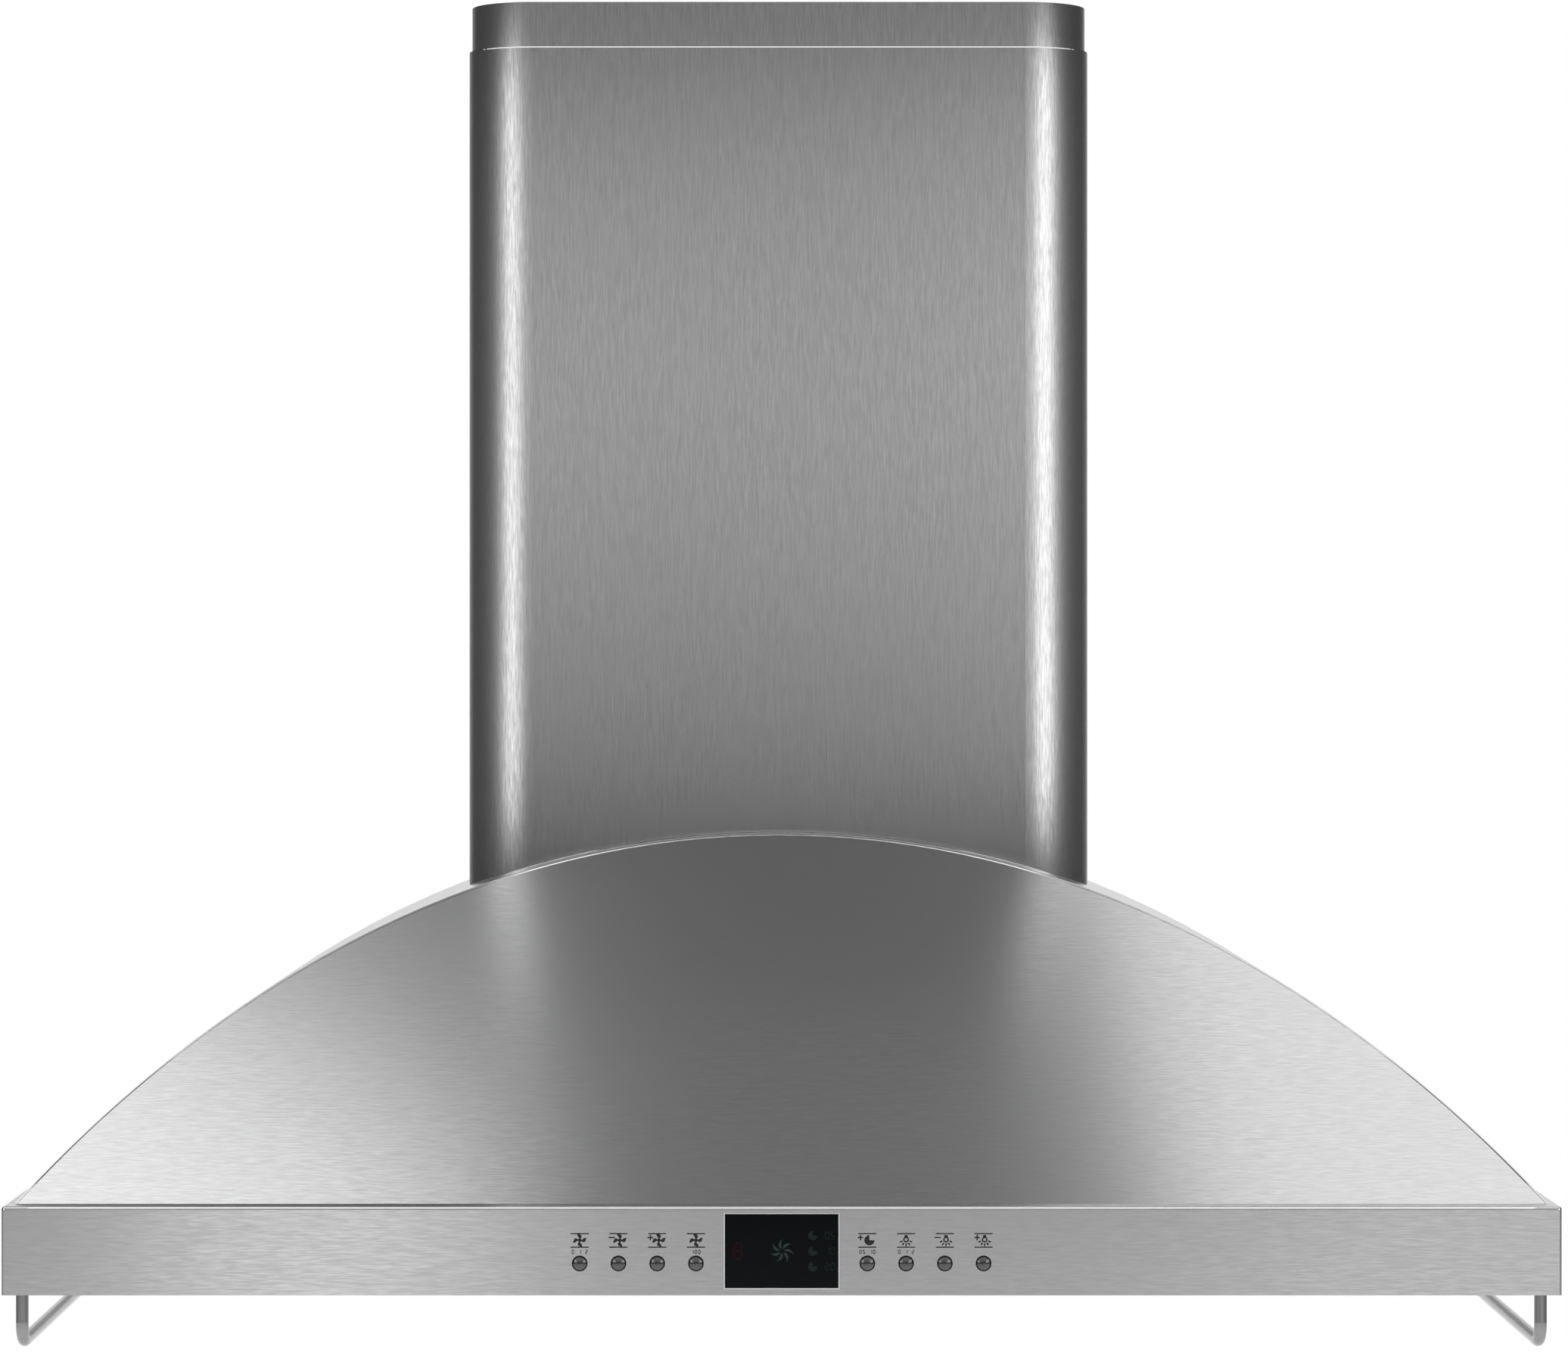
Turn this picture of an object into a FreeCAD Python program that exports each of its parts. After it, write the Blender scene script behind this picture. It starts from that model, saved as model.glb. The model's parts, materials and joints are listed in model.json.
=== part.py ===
import FreeCAD, Part
import os
import re
import Sketcher
from FreeCAD import Rotation, Vector

# A wall-mounted chimney range hood with an arched canopy. Millimetres, +Z up, +X to the right,
# the front faces -Y and the wall is the plane Y = 0. The origin is the centre of the four holes
# that hang the hood on the wall.

SIZES = {
    # canopy
    "hood_width": 914.4,
    "hood_depth": 530.0,
    "sheet": 1.0,
    "seam_gap": 0.2,
    "fit_gap": 0.05,
    "press_gap": 0.02,
    "cut_over": 0.01,
    "tray_height": 52.0,
    "tray_edge_radius": 2.0,
    "tray_lip": 20.0,
    "front_ledge": 16.0,
    "arch_margin": 5.5,
    "arch_rise": 208.2,
    "chimney_ledge": 24.0,
    "hem": 12.0,
    "back_thickness": 1.2,
    "skin_opening_width": 236.0,
    "skin_opening_rear": 12.0,
    # wall holes
    "wall_hole_height": 80.0,
    "wall_hole_span_x": 400.0,
    "wall_hole_span_z": 100.0,
    "wall_hole_radius": 4.0,
    # chimney
    "chimney_width": 407.0,
    "chimney_depth": 198.0,
    "chimney_corner": 43.0,
    "chimney_height": 719.6,
    "chimney_flange": 12.0,
    "chimney_gap": 0.85,
    "upper_show": 29.0,
    "upper_length": 420.0,
    "bracket_height": 30.0,
    "bracket_drop": 14.0,
    "bracket_ear": 36.0,
    "bracket_step": 3.0,
    "bracket_screw_depth": 30.0,
    "bracket_thickness": 1.5,
    "bracket_hole_span": 300.0,
    "foot_length": 30.0,
    "foot_depth": 40.0,
    "foot_setback": 24.0,
    # controls in the front band
    "display_width": 66.5,
    "display_height": 43.4,
    "display_frame": 0.9,
    "display_proud": 0.4,
    "glass_thickness": 2.0,
    "module_depth": 8.0,
    "screen_border": 4.0,
    "screen_recess": 1.0,
    "button_inner": 50.2,
    "button_pitch": 22.7,
    "button_height": 18.7,
    "button_radius": 3.8,
    "button_proud": 2.2,
    "button_crown": 1.2,
    "button_play": 0.3,
    "button_travel": 1.0,
    "switch_clear": 0.4,
    "button_flange": 5.2,
    "button_flange_thickness": 0.8,
    "bezel_radius": 4.6,
    "bezel_neck": 4.25,
    "bezel_chamfer": 0.3,
    "bezel_proud": 0.7,
    "bezel_bore": 3.88,
    "bezel_depth": 2.0,
    "board_setback": 13.4,
    "board_thickness": 1.6,
    "board_end": 10.7,
    "board_height": 31.0,
    "switch_size": 6.0,
    "switch_height": 3.0,
    "control_box_gap": 8.0,
    "control_box_depth": 15.0,
    "control_box_setback": 11.0,
    "control_box_height": 36.0,
    "control_box_wall": 1.6,
    "boss_inset": 8.0,
    # rails
    "rail_radius": 3.75,
    "rail_inset": 8.7,
    "rail_drop": 31.0,
    "rail_front": 26.0,
    "rail_rear": 58.0,
    "rail_bend": 12.0,
    "rail_stud_radius": 3.0,
    "rail_stud_gap": 0.2,
    "rail_stud_tip": 1.0,
    "nut_width": 10.0,
    "nut_height": 5.0,
    # grease filters
    "liner_clearance": 0.1,
    "liner_flange": 16.0,
    "filter_margin": 43.2,
    "filter_height": 12.0,
    "filter_spacing": 32.0,
    "filter_front": 112.0,
    "filter_rear": 96.0,
    "filter_border": 16.0,
    "filter_ledge": 9.0,
    "filter_travel": 10.0,
    "hook_gap": 2.0,
    "hook_headroom": 1.6,
    "baffle_count": 10,
    "baffle_sheet": 0.8,
    "baffle_cover": 0.8,
    "baffle_depth": 5.4,
    "handle_width": 90.0,
    "handle_drop": 12.0,
    "handle_radius": 2.5,
    "handle_bend": 5.0,
    "handle_clear": 0.6,
    # lamps
    "lamp_inset": 177.2,
    "lamp_setback": 62.0,
    "lamp_radius": 30.0,
    "lamp_ring": 34.0,
    "lamp_depth": 26.0,
    "lamp_crown": 22.5,
    "lamp_wall": 1.0,
    "ring_drop": 1.5,
    "ring_lip": 4.0,
    "lens_seat": 2.0,
    "lens_play": 0.2,
    "lens_thickness": 3.0,
    "bulb_radius": 8.0,
    "bulb_length": 14.0,
    "bulb_round": 3.0,
    # blower
    "blower_depth": 95.0,
    "blower_height": 75.0,
    "blower_width": 200.0,
    "impeller_radius": 66.0,
    "volute_radius": 70.0,
    "volute_growth": 9.0,
    "outlet_height": 150.0,
    "inlet_radius": 52.0,
    "inlet_lip": 9.0,
    "impeller_width": 176.0,
    "blade_root": 53.0,
    "blade_count": 36,
    "blade_thickness": 0.8,
    "blade_curve": 13.0,
    "blade_inset": 0.5,
    "blade_lean": 9,
    "rim_thickness": 2.0,
    "hub_radius": 12.0,
    "hub_left": 14.0,
    "hub_right": 6.0,
    "shaft_tip": 2.0,
    "shaft_radius": 4.0,
    "shaft_clearance": 0.06,
    "motor_radius": 38.0,
    "motor_start": 16.0,
    "motor_taper": 4.0,
    "motor_cap": 30.0,
    "motor_step": 3.0,
    "arm_width": 14.0,
    "arm_reach": 70.0,
    "blower_foot": 26.0,
    "blower_foot_height": 60.0,
    "blower_foot_start": 47.0,
    # duct collar and damper
    "transition_height": 35.0,
    "duct_radius": 75.0,
    "collar_height": 56.0,
    "collar_foot": 2.0,
    "damper_height": 15.0,
    "damper_gap": 8.0,
    "damper_pin_radius": 1.5,
    "damper_knuckle": 2.6,
    "flap_radius": 72.4,
    "flap_sheet": 1.0,
    "flap_stop": 70.0,
    "flap_play": 0.3,
    "knuckle_length": 116.0,
    # wiring
    "box_width": 100.0,
    "box_height": 62.0,
    "box_depth": 46.0,
    "box_offset": 262.0,
    "box_wall": 2.0,
    "box_clearance": 2.0,
    "lid_thickness": 1.5,
    "board_margin": 6.0,
    "board_lift": 10.0,
    "standoff_inset": 4.0,
    "gland_offset": 20.0,
    "gland_radius": 9.0,
    "gland_neck": 6.0,
    "gland_flange": 5.0,
    "gland_step": 2.0,
    "gland_bore": 4.5,
    "gland_height": 15.0,
    "capacitor_radius": 14.0,
    "capacitor_height": 50.0,
    "capacitor_offset": 22.0,
    # screws
    "screw_radius": 2.0,
    "screw_head": 4.0,
    "screw_head_height": 2.4,
    "screw_grip": 2.4,
    "thread_play": 0.1,
}

# Formulas that several sub-parts share, in the names above. tray_top and tray_bottom are heights;
# arch_axis is the height of the arch's centre line; lean is the front panel's angle from upright.
FORMULAS = {
    "tray_top": "-wall_hole_height",
    "tray_bottom": "-wall_hole_height - tray_height",
    "half_tray": "hood_width / 2",
    "arch_half_width": "hood_width / 2 - arch_margin",
    "panel_top_depth": "hood_depth - chimney_depth - chimney_ledge",
    "arch_radius": "(arch_half_width^2 + arch_rise^2) / (2 * arch_rise)",
    "arch_axis": "arch_rise - wall_hole_height - arch_radius",
    "fit_radius": "arch_radius - sheet - seam_gap",
    "fit_half": "sqrt(fit_radius^2 - (arch_radius - arch_rise)^2)",
    "lean": "atan((panel_top_depth - front_ledge) / arch_rise)",
    "panel_foot": "front_ledge - hood_depth",
    "liner_level": "tray_bottom + sheet + seam_gap",
    "filter_level": "liner_level + sheet + liner_clearance",
    "filter_edge": "filter_front - hood_depth",
    "filter_width": "(hood_width - 2 * filter_margin - filter_spacing) / 2",
    "filter_depth": "hood_depth - filter_front - filter_rear",
    "rail_length": "hood_depth - rail_front - rail_rear",
    "lamp_spacing": "hood_width - 2 * lamp_inset",
    "half_chimney": "chimney_width / 2",
    "chimney_top": "tray_top + chimney_height",
    "upper_inset": "sheet + chimney_gap",
    "upper_top": "chimney_top + upper_show",
    "bracket_top": "upper_top - bracket_drop",
    "foot_screw": "sqrt(arch_radius^2 - (half_chimney - foot_length)^2) + arch_axis + 2 * screw_head",
    "display_centre": "tray_bottom + tray_height / 2",
    "button_level": "tray_bottom + button_height",
    "button_stem": "board_setback - switch_height - switch_clear - button_travel",
    "box_floor": "liner_level + sheet + seam_gap",
    "board_width": "2 * (button_inner + 3 * button_pitch + board_end)",
    "control_box_width": "board_width + 2 * control_box_gap",
    "board_level": "box_floor + (control_box_height - board_height) / 2",
    "board_front": "board_setback - hood_depth",
    "neck_front": "-(volute_radius + 2.5 * volute_growth)",
    "neck_rear": "volute_growth / 2 + volute_radius * sqrt(0.5)",
    "neck_centre": "(neck_front + neck_rear) / 2",
    "collar_level": "outlet_height + transition_height",
    "blower_z": "blower_height - wall_hole_height",
    "box_level": "tray_top + box_clearance",
}

LEFT, RIGHT = 1, -1            # the side to which an arc bulges, seen along its direction

doc = FreeCAD.newDocument("range_hood")
sizes = doc.addObject("Spreadsheet::Sheet", "Sizes")
NAMES = re.compile(r"\b(" + "|".join(sorted(list(SIZES) + list(FORMULAS), key=len, reverse=True)) + r")\b")
subparts = []


def fill_sheet():
    for row, (alias, number) in enumerate(SIZES.items(), start=1):
        sizes.set(f"A{row}", alias)
        sizes.set(f"B{row}", str(number))
        sizes.setAlias(f"B{row}", alias)
    doc.recompute()


def formula(text):
    """Write a formula for an expression: shared formulas opened up, sizes read from the sheet."""
    def open_up(match):
        name = match.group(1)
        return f"({formula(FORMULAS[name])})" if name in FORMULAS else f"Sizes.{name}"
    return NAMES.sub(open_up, str(text))


def number(text):
    return float(sizes.evalExpression(formula(text)))


def bind(thing, path, text):
    thing.setExpression(path, formula(text))


def place(thing, x="0", y="0", z="0"):
    bind(thing, "Placement.Base.x", x)
    bind(thing, "Placement.Base.y", y)
    bind(thing, "Placement.Base.z", z)
    return thing


def keep(thing, label):
    thing.Label = label
    subparts.append(thing)
    return thing


# ---- sketches and features ----

def new_body(label, x="0", y="0", z="0"):
    return keep(place(doc.addObject("PartDesign::Body", label), x, y, z), label)


def origin_feature(body, role):
    return next(item for item in body.Origin.OriginFeatures if item.Role == role)


def pin_point(sketch, geometry, position, u, v):
    for kind, text in (("DistanceX", u), ("DistanceY", v)):
        index = sketch.addConstraint(Sketcher.Constraint(kind, -1, 1, geometry, position, number(text)))
        bind(sketch, f"Constraints[{index}]", text)


def arc_between(start, end, radius, side):
    """The short arc of this radius between two points, bulging left or right, drawn anticlockwise."""
    chord = end - start
    half = chord.Length / 2
    sagitta = radius - max(radius * radius - half * half, 0) ** 0.5
    normal = Vector(-chord.y, chord.x, 0).normalize() * side
    middle = (start + end) * 0.5 + normal * sagitta
    return Part.Arc(end, middle, start) if side == LEFT else Part.Arc(start, middle, end)


def draw_loop(sketch, corners):
    """A closed outline. A corner is (u, v), or (u, v, radius, side) where an arc starts there."""
    points = [Vector(number(corner[0]), number(corner[1]), 0) for corner in corners]
    ends = []
    for index, corner in enumerate(corners):
        start, end = points[index], points[(index + 1) % len(points)]
        if len(corner) == 4:
            edge = sketch.addGeometry(arc_between(start, end, number(corner[2]), corner[3]), False)
            radius = sketch.addConstraint(Sketcher.Constraint("Radius", edge, number(corner[2])))
            bind(sketch, f"Constraints[{radius}]", corner[2])
            ends.append((edge, 2, 1) if corner[3] == LEFT else (edge, 1, 2))
        else:
            ends.append((sketch.addGeometry(Part.LineSegment(start, end), False), 1, 2))
    for index, (edge, first, last) in enumerate(ends):
        pin_point(sketch, edge, first, corners[index][0], corners[index][1])
        following = ends[(index + 1) % len(ends)]
        sketch.addConstraint(Sketcher.Constraint("Coincident", edge, last, following[0], following[1]))


def draw_circle(sketch, u, v, radius):
    circle = sketch.addGeometry(Part.Circle(Vector(number(u), number(v), 0), Vector(0, 0, 1),
                                            number(radius)), False)
    pin_point(sketch, circle, 3, u, v)
    index = sketch.addConstraint(Sketcher.Constraint("Radius", circle, number(radius)))
    bind(sketch, f"Constraints[{index}]", radius)


def draw(body, plane, loops=(), circles=(), offset="0"):
    """A sketch on an origin plane of the body: XY, XZ (normal -Y) or YZ (normal +X)."""
    sketch = body.newObject("Sketcher::SketchObject", "Sketch")
    sketch.AttachmentSupport = (origin_feature(body, plane + "_Plane"), [""])
    sketch.MapMode = "FlatFace"
    bind(sketch, "AttachmentOffset.Base.z", offset)
    for corners in loops:
        draw_loop(sketch, corners)
    for u, v, radius in circles:
        draw_circle(sketch, u, v, radius)
    return sketch


def rectangle(u0, u1, v0, v1):
    return [(u0, v0), (u1, v0), (u1, v1), (u0, v1)]


def pad(body, sketch, length, side="One side", reverse=False):
    feature = body.newObject("PartDesign::Pad", "Pad")
    feature.Profile = sketch
    feature.SideType = side
    feature.Reversed = reverse
    bind(feature, "Length", length)
    return feature


def pocket(body, sketch, length=None, reverse=False):
    """Cut through everything both ways, or to a depth against the sketch's normal."""
    feature = body.newObject("PartDesign::Pocket", "Pocket")
    feature.Profile = sketch
    if length is None:
        feature.Type = "ThroughAll"
        feature.SideType = "Symmetric"
    else:
        feature.Reversed = reverse
        bind(feature, "Length", length)
    return feature


def revolve(body, sketch, axis, kind="Revolution"):
    feature = body.newObject(f"PartDesign::{kind}", kind)
    feature.Profile = sketch
    feature.ReferenceAxis = (sketch, [axis])
    feature.Angle = 360
    return feature


def polar(body, feature, axis, count):
    pattern = body.newObject("PartDesign::PolarPattern", "PolarPattern")
    pattern.Originals = [feature]
    pattern.Axis = (origin_feature(body, axis + "_Axis"), [""])
    pattern.Angle = 360
    bind(pattern, "Occurrences", count)
    body.Tip = pattern
    return pattern


def linear(body, feature, axis, length, count):
    pattern = body.newObject("PartDesign::LinearPattern", "LinearPattern")
    pattern.Originals = [feature]
    pattern.Direction = (origin_feature(body, axis + "_Axis"), [""])
    bind(pattern, "Length", length)
    bind(pattern, "Occurrences", count)
    body.Tip = pattern
    return pattern


def box(label, x, y, z):
    """A block between two formulas along each axis."""
    block = doc.addObject("Part::Box", label)
    for side, (low, high) in zip(("Length", "Width", "Height"), (x, y, z)):
        bind(block, side, f"({high}) - ({low})")
    return place(block, x[0], y[0], z[0])


def rod(label, radius, length, at, direction=Vector(0, 0, 1)):
    cylinder = doc.addObject("Part::Cylinder", label)
    bind(cylinder, "Radius", radius)
    bind(cylinder, "Height", length)
    cylinder.Placement.Rotation = Rotation(Vector(0, 0, 1), direction)
    return place(cylinder, *at)


def cut(label, base, tool):
    result = doc.addObject("Part::Cut", label)
    result.Base, result.Tool = base, tool
    return result


def fuse(label, shapes):
    result = doc.addObject("Part::MultiFuse", label)
    result.Shapes = shapes
    return result


def group(label, solids):
    result = doc.addObject("Part::Compound", label)
    result.Links = solids
    return result


# ---- canopy ----

BUTTONS = ("fan_power_button", "fan_slower_button", "fan_faster_button", "boost_button",
           "timer_button", "lamp_power_button", "lamp_dimmer_button", "lamp_brighter_button")


def button_x(index):
    """Four buttons each side of the display, counted from the left."""
    step = index - 3 if index < 4 else index - 4
    side = "-" if index < 4 else ""
    return f"{side}button_inner + {step} * button_pitch"


def stud_places():
    """Where the rails' four studs stand: two on each side."""
    return [(f"{side} * (half_tray - rail_inset)", y) for side in (-1, 1)
            for y in ("rail_front - hood_depth", "-rail_rear")]


def stud_holes():
    return [(x, y, "rail_stud_radius + rail_stud_gap") for x, y in stud_places()]


def base_tray():
    """The folded rectangular tray: front band and sides, a ledge on top, a lip underneath."""
    body = new_body("base_tray")
    pad(body, draw(body, "XY", [rectangle("-half_tray", "half_tray", "-hood_depth", "0")],
                   offset="tray_bottom"), "tray_height")
    doc.recompute()
    block = body.Tip.Shape
    front, top = number("-hood_depth"), number("tray_top")
    edges = []
    for index, edge in enumerate(block.Edges, start=1):
        middle = edge.CenterOfMass
        upright = abs(edge.tangentAt(edge.FirstParameter).z) > 0.9
        if (upright and abs(middle.y - front) < 1) or (not upright and abs(middle.z - top) < 1
                                                       and middle.y < -1):
            edges.append(f"Edge{index}")
    rounding = body.newObject("PartDesign::Fillet", "Fillet")
    rounding.Base = (body.Group[-2], edges)
    bind(rounding, "Radius", "tray_edge_radius")
    pocket(body, draw(body, "XY", [rectangle("sheet - half_tray", "half_tray - sheet",
                                             "sheet - hood_depth", "sheet")],
                      offset="tray_top - sheet"), "tray_height - 2 * sheet")
    pocket(body, draw(body, "XY", [rectangle("-arch_half_width - seam_gap", "arch_half_width + seam_gap",
                                             "panel_foot - seam_gap", "sheet")],
                      offset="tray_top + sheet"), "3 * sheet")
    pocket(body, draw(body, "XY", [rectangle("tray_lip - half_tray", "half_tray - tray_lip",
                                             "tray_lip - hood_depth", "sheet")],
                      offset="tray_bottom + 2 * sheet"), "3 * sheet")
    window = rectangle("-display_width / 2 - display_frame", "display_width / 2 + display_frame",
                       "display_centre - display_height / 2 - display_frame",
                       "display_centre + display_height / 2 + display_frame")
    holes = [(button_x(index), "button_level", "bezel_neck + fit_gap") for index in range(len(BUTTONS))]
    pocket(body, draw(body, "XZ", [window], holes, offset="hood_depth + sheet"), "4 * sheet")
    pocket(body, draw(body, "XY", circles=stud_holes(), offset="tray_bottom + 2 * sheet"),
           "3 * sheet")


def trim_to_arch(body, shoulder):
    """Cut away what lies outside the arch, down to the level of the shoulder."""
    inside = [("-fit_half", shoulder), ("-fit_half", "tray_top", "fit_radius", LEFT),
              ("fit_half", "tray_top"), ("fit_half", shoulder)]
    frame = rectangle("-hood_width", "hood_width", f"{shoulder} - 2 * sheet", "tray_top + 2 * arch_rise")
    pocket(body, draw(body, "XZ", [frame, inside]))


def front_panel():
    """The flat leaning panel, with a hem that drops inside the tray's opening."""
    body = new_body("front_panel")
    hem_end, over = "tray_top - hem", "(arch_rise + hem)"
    profile = [("panel_foot", hem_end), ("panel_foot", "tray_top"),
               (f"panel_foot + {over} * tan(lean)", f"tray_top + {over}"),
               (f"panel_foot + {over} * tan(lean) + sheet / cos(lean)", f"tray_top + {over}"),
               ("panel_foot + sheet", "tray_top - sheet * tan(lean / 2)"),
               ("panel_foot + sheet", hem_end)]
    pad(body, draw(body, "YZ", [profile]), "hood_width", side="Symmetric")
    trim_to_arch(body, "tray_top - hem")


def arch_skin():
    """The rolled skin over the arch, cut off along the leaning panel, open where the blower rises."""
    body = new_body("arch_skin")
    inner = "sqrt((arch_radius - sheet)^2 - (arch_half_width - sheet)^2) + arch_axis"
    profile = [("-arch_half_width", "tray_top - hem"),
               ("-arch_half_width", "tray_top", "arch_radius", LEFT),
               ("arch_half_width", "tray_top"), ("arch_half_width", "tray_top - hem"),
               ("arch_half_width - sheet", "tray_top - hem"),
               ("arch_half_width - sheet", inner, "arch_radius - sheet", RIGHT),
               ("sheet - arch_half_width", inner), ("sheet - arch_half_width", "tray_top - hem")]
    pad(body, draw(body, "XZ", [profile]), "-panel_foot")
    ahead = [("-2 * hood_depth", "tray_top"), ("panel_foot", "tray_top"),
             ("panel_foot + 2 * arch_rise * tan(lean)", "tray_top + 2 * arch_rise"),
             ("-2 * hood_depth", "tray_top + 2 * arch_rise")]
    pocket(body, draw(body, "YZ", [ahead]))
    pocket(body, draw(body, "XY", [rectangle("-skin_opening_width / 2", "skin_opening_width / 2",
                                             "-chimney_depth", "-skin_opening_rear")]))


def back_panel():
    """The rear plate that carries the hood on its four wall holes."""
    body = new_body("back_panel")
    side, shoulder = "half_tray - sheet - seam_gap", "tray_top - hem - seam_gap"
    outline = [(f"-({side})", "liner_level + 2 * sheet"), (side, "liner_level + 2 * sheet"),
               (side, shoulder), ("fit_half", shoulder), ("fit_half", "tray_top", "fit_radius", RIGHT),
               ("-fit_half", "tray_top"), ("-fit_half", shoulder), (f"-({side})", shoulder)]
    pad(body, draw(body, "XZ", [outline]), "back_thickness")
    holes = [(f"{x} * wall_hole_span_x / 2", f"{z} * wall_hole_span_z / 2", "wall_hole_radius")
             for x in (-1, 1) for z in (-1, 1)]
    pocket(body, draw(body, "XZ", circles=holes))


def filter_x(side):
    return f"{side} * (filter_width + filter_spacing) / 2"


def filter_frame():
    """The liner under the canopy: a plate with two filter windows, lamp holes and side flanges."""
    body = new_body("filter_frame")
    edge = "half_tray - sheet - seam_gap"
    front, rear = "sheet + seam_gap - hood_depth", "-back_thickness - seam_gap"
    wall = "filter_edge + filter_depth + filter_travel + hook_gap"
    tip, roof = "filter_edge + filter_depth - filter_ledge", "filter_level + filter_height + hook_headroom"
    pad(body, draw(body, "XY", [rectangle(f"-({edge})", edge, front, rear)], offset="liner_level"),
        "sheet")
    for side in (-1, 1):
        pad(body, draw(body, "XY", [rectangle(f"{side} * ({edge} - sheet)", f"{side} * ({edge})",
                                              "filter_edge", "-hem")], offset="liner_level"),
            "liner_flange")
        hook = [(wall, "liner_level"), (f"{wall} + sheet", "liner_level"),
                (f"{wall} + sheet", f"{roof} + sheet"), (tip, f"{roof} + sheet"), (tip, roof),
                (wall, roof)]
        pad(body, draw(body, "YZ", [hook], offset=filter_x(side)), "filter_width - 2 * hem",
            side="Symmetric")
    windows = [rectangle(f"{filter_x(side)} - filter_width / 2 + filter_ledge",
                         f"{filter_x(side)} + filter_width / 2 - filter_ledge",
                         "filter_edge + filter_ledge",
                         "filter_edge + filter_depth - filter_ledge") for side in (-1, 1)]
    lamps = [(f"{side} * lamp_spacing / 2", "lamp_setback - hood_depth", "lamp_radius + seam_gap")
             for side in (-1, 1)]
    pocket(body, draw(body, "XY", windows, lamps + stud_holes(), offset="liner_level + 2 * sheet"),
           "3 * sheet")


def grease_filter(label, side):
    """A baffle filter: a frame with a lower and an upper row of folded channels, half a pitch apart."""
    body = new_body(label, filter_x(side), "filter_edge + filter_depth / 2", "filter_level")
    half_x, half_y, border = "filter_width / 2", "filter_depth / 2", "filter_border"
    pad(body, draw(body, "XY", [rectangle(f"-{half_x}", half_x, f"-{half_y}", half_y),
                                rectangle(f"{border} - {half_x}", f"{half_x} - {border}",
                                          f"{border} - {half_y}", f"{half_y} - {border}")]),
        "filter_height")
    pocket(body, draw(body, "XY", [rectangle(f"baffle_sheet - {half_x}", f"{half_x} - baffle_sheet",
                                             f"baffle_sheet - {half_y}", f"{half_y} - baffle_sheet"),
                                   rectangle(f"{border} + baffle_sheet - {half_x}",
                                             f"{half_x} - {border} - baffle_sheet",
                                             f"{border} + baffle_sheet - {half_y}",
                                             f"{half_y} - {border} - baffle_sheet")],
                      offset="filter_height - baffle_sheet"), "filter_height - 2 * baffle_sheet")
    pitch = "((filter_width - 2 * filter_border) / baffle_count)"
    run = "filter_depth - filter_border"
    first = f"filter_border - {half_x} + (1 - baffle_cover) / 2 * {pitch}"
    for level, up, start, count in (("0", "", first, "baffle_count"),
                                    ("filter_height", "-", f"{first} + {pitch} / 2",
                                     "baffle_count - 1")):
        foot, far = start, f"{start} + baffle_cover * {pitch}"
        tip, skin = f"{level} + {up}baffle_depth", f"{level} + {up}baffle_sheet"
        channel = [(foot, level), (far, level), (far, tip), (f"{far} - baffle_sheet", tip),
                   (f"{far} - baffle_sheet", skin), (f"{foot} + baffle_sheet", skin),
                   (f"{foot} + baffle_sheet", tip), (foot, tip)]
        row = pad(body, draw(body, "XZ", [channel]), run, side="Symmetric")
        linear(body, row, "X", f"({count} - 1) * {pitch}", count)


def filter_handle(label, side):
    """A bent-rod handle under the front border of a filter."""
    body = new_body(label, filter_x(side), "filter_edge + filter_ledge + handle_radius + handle_clear",
                    "filter_level")
    half, bend = "handle_width / 2", "handle_bend"
    path = draw(body, "XZ")
    spine = [("line", f"-{half}", "0", f"-{half}", f"{bend} - handle_drop"),
             ("arc", f"-{half}", f"{bend} - handle_drop", f"{bend} - {half}", "-handle_drop"),
             ("line", f"{bend} - {half}", "-handle_drop", f"{half} - ({bend})", "-handle_drop"),
             ("arc", f"{half} - ({bend})", "-handle_drop", half, f"{bend} - handle_drop"),
             ("line", half, f"{bend} - handle_drop", half, "0")]
    draw_path(path, spine, bend)
    sweep(body, path, "handle_radius", f"-{half}", "0")


def draw_path(sketch, spine, bend):
    """An open path of lines and rounded corners; every corner turns the same way."""
    for kind, *place_texts in spine:
        u0, v0, u1, v1 = place_texts
        start, end = Vector(number(u0), number(v0), 0), Vector(number(u1), number(v1), 0)
        if kind == "arc":
            edge = sketch.addGeometry(arc_between(start, end, number(bend), RIGHT), False)
            radius = sketch.addConstraint(Sketcher.Constraint("Radius", edge, number(bend)))
            bind(sketch, f"Constraints[{radius}]", bend)
        else:
            edge = sketch.addGeometry(Part.LineSegment(start, end), False)
        pin_point(sketch, edge, 1, u0, v0)
        pin_point(sketch, edge, 2, u1, v1)


def sweep(body, path, radius, u, v):
    """Carry a round section along the path from its upright first leg."""
    section = draw(body, "XY", circles=[(u, v, radius)])
    pipe = body.newObject("PartDesign::AdditivePipe", "AdditivePipe")
    pipe.Profile = section
    doc.recompute()
    pipe.Spine = (path, [f"Edge{index}" for index in range(1, len(path.Shape.Edges) + 1)])
    return pipe


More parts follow.
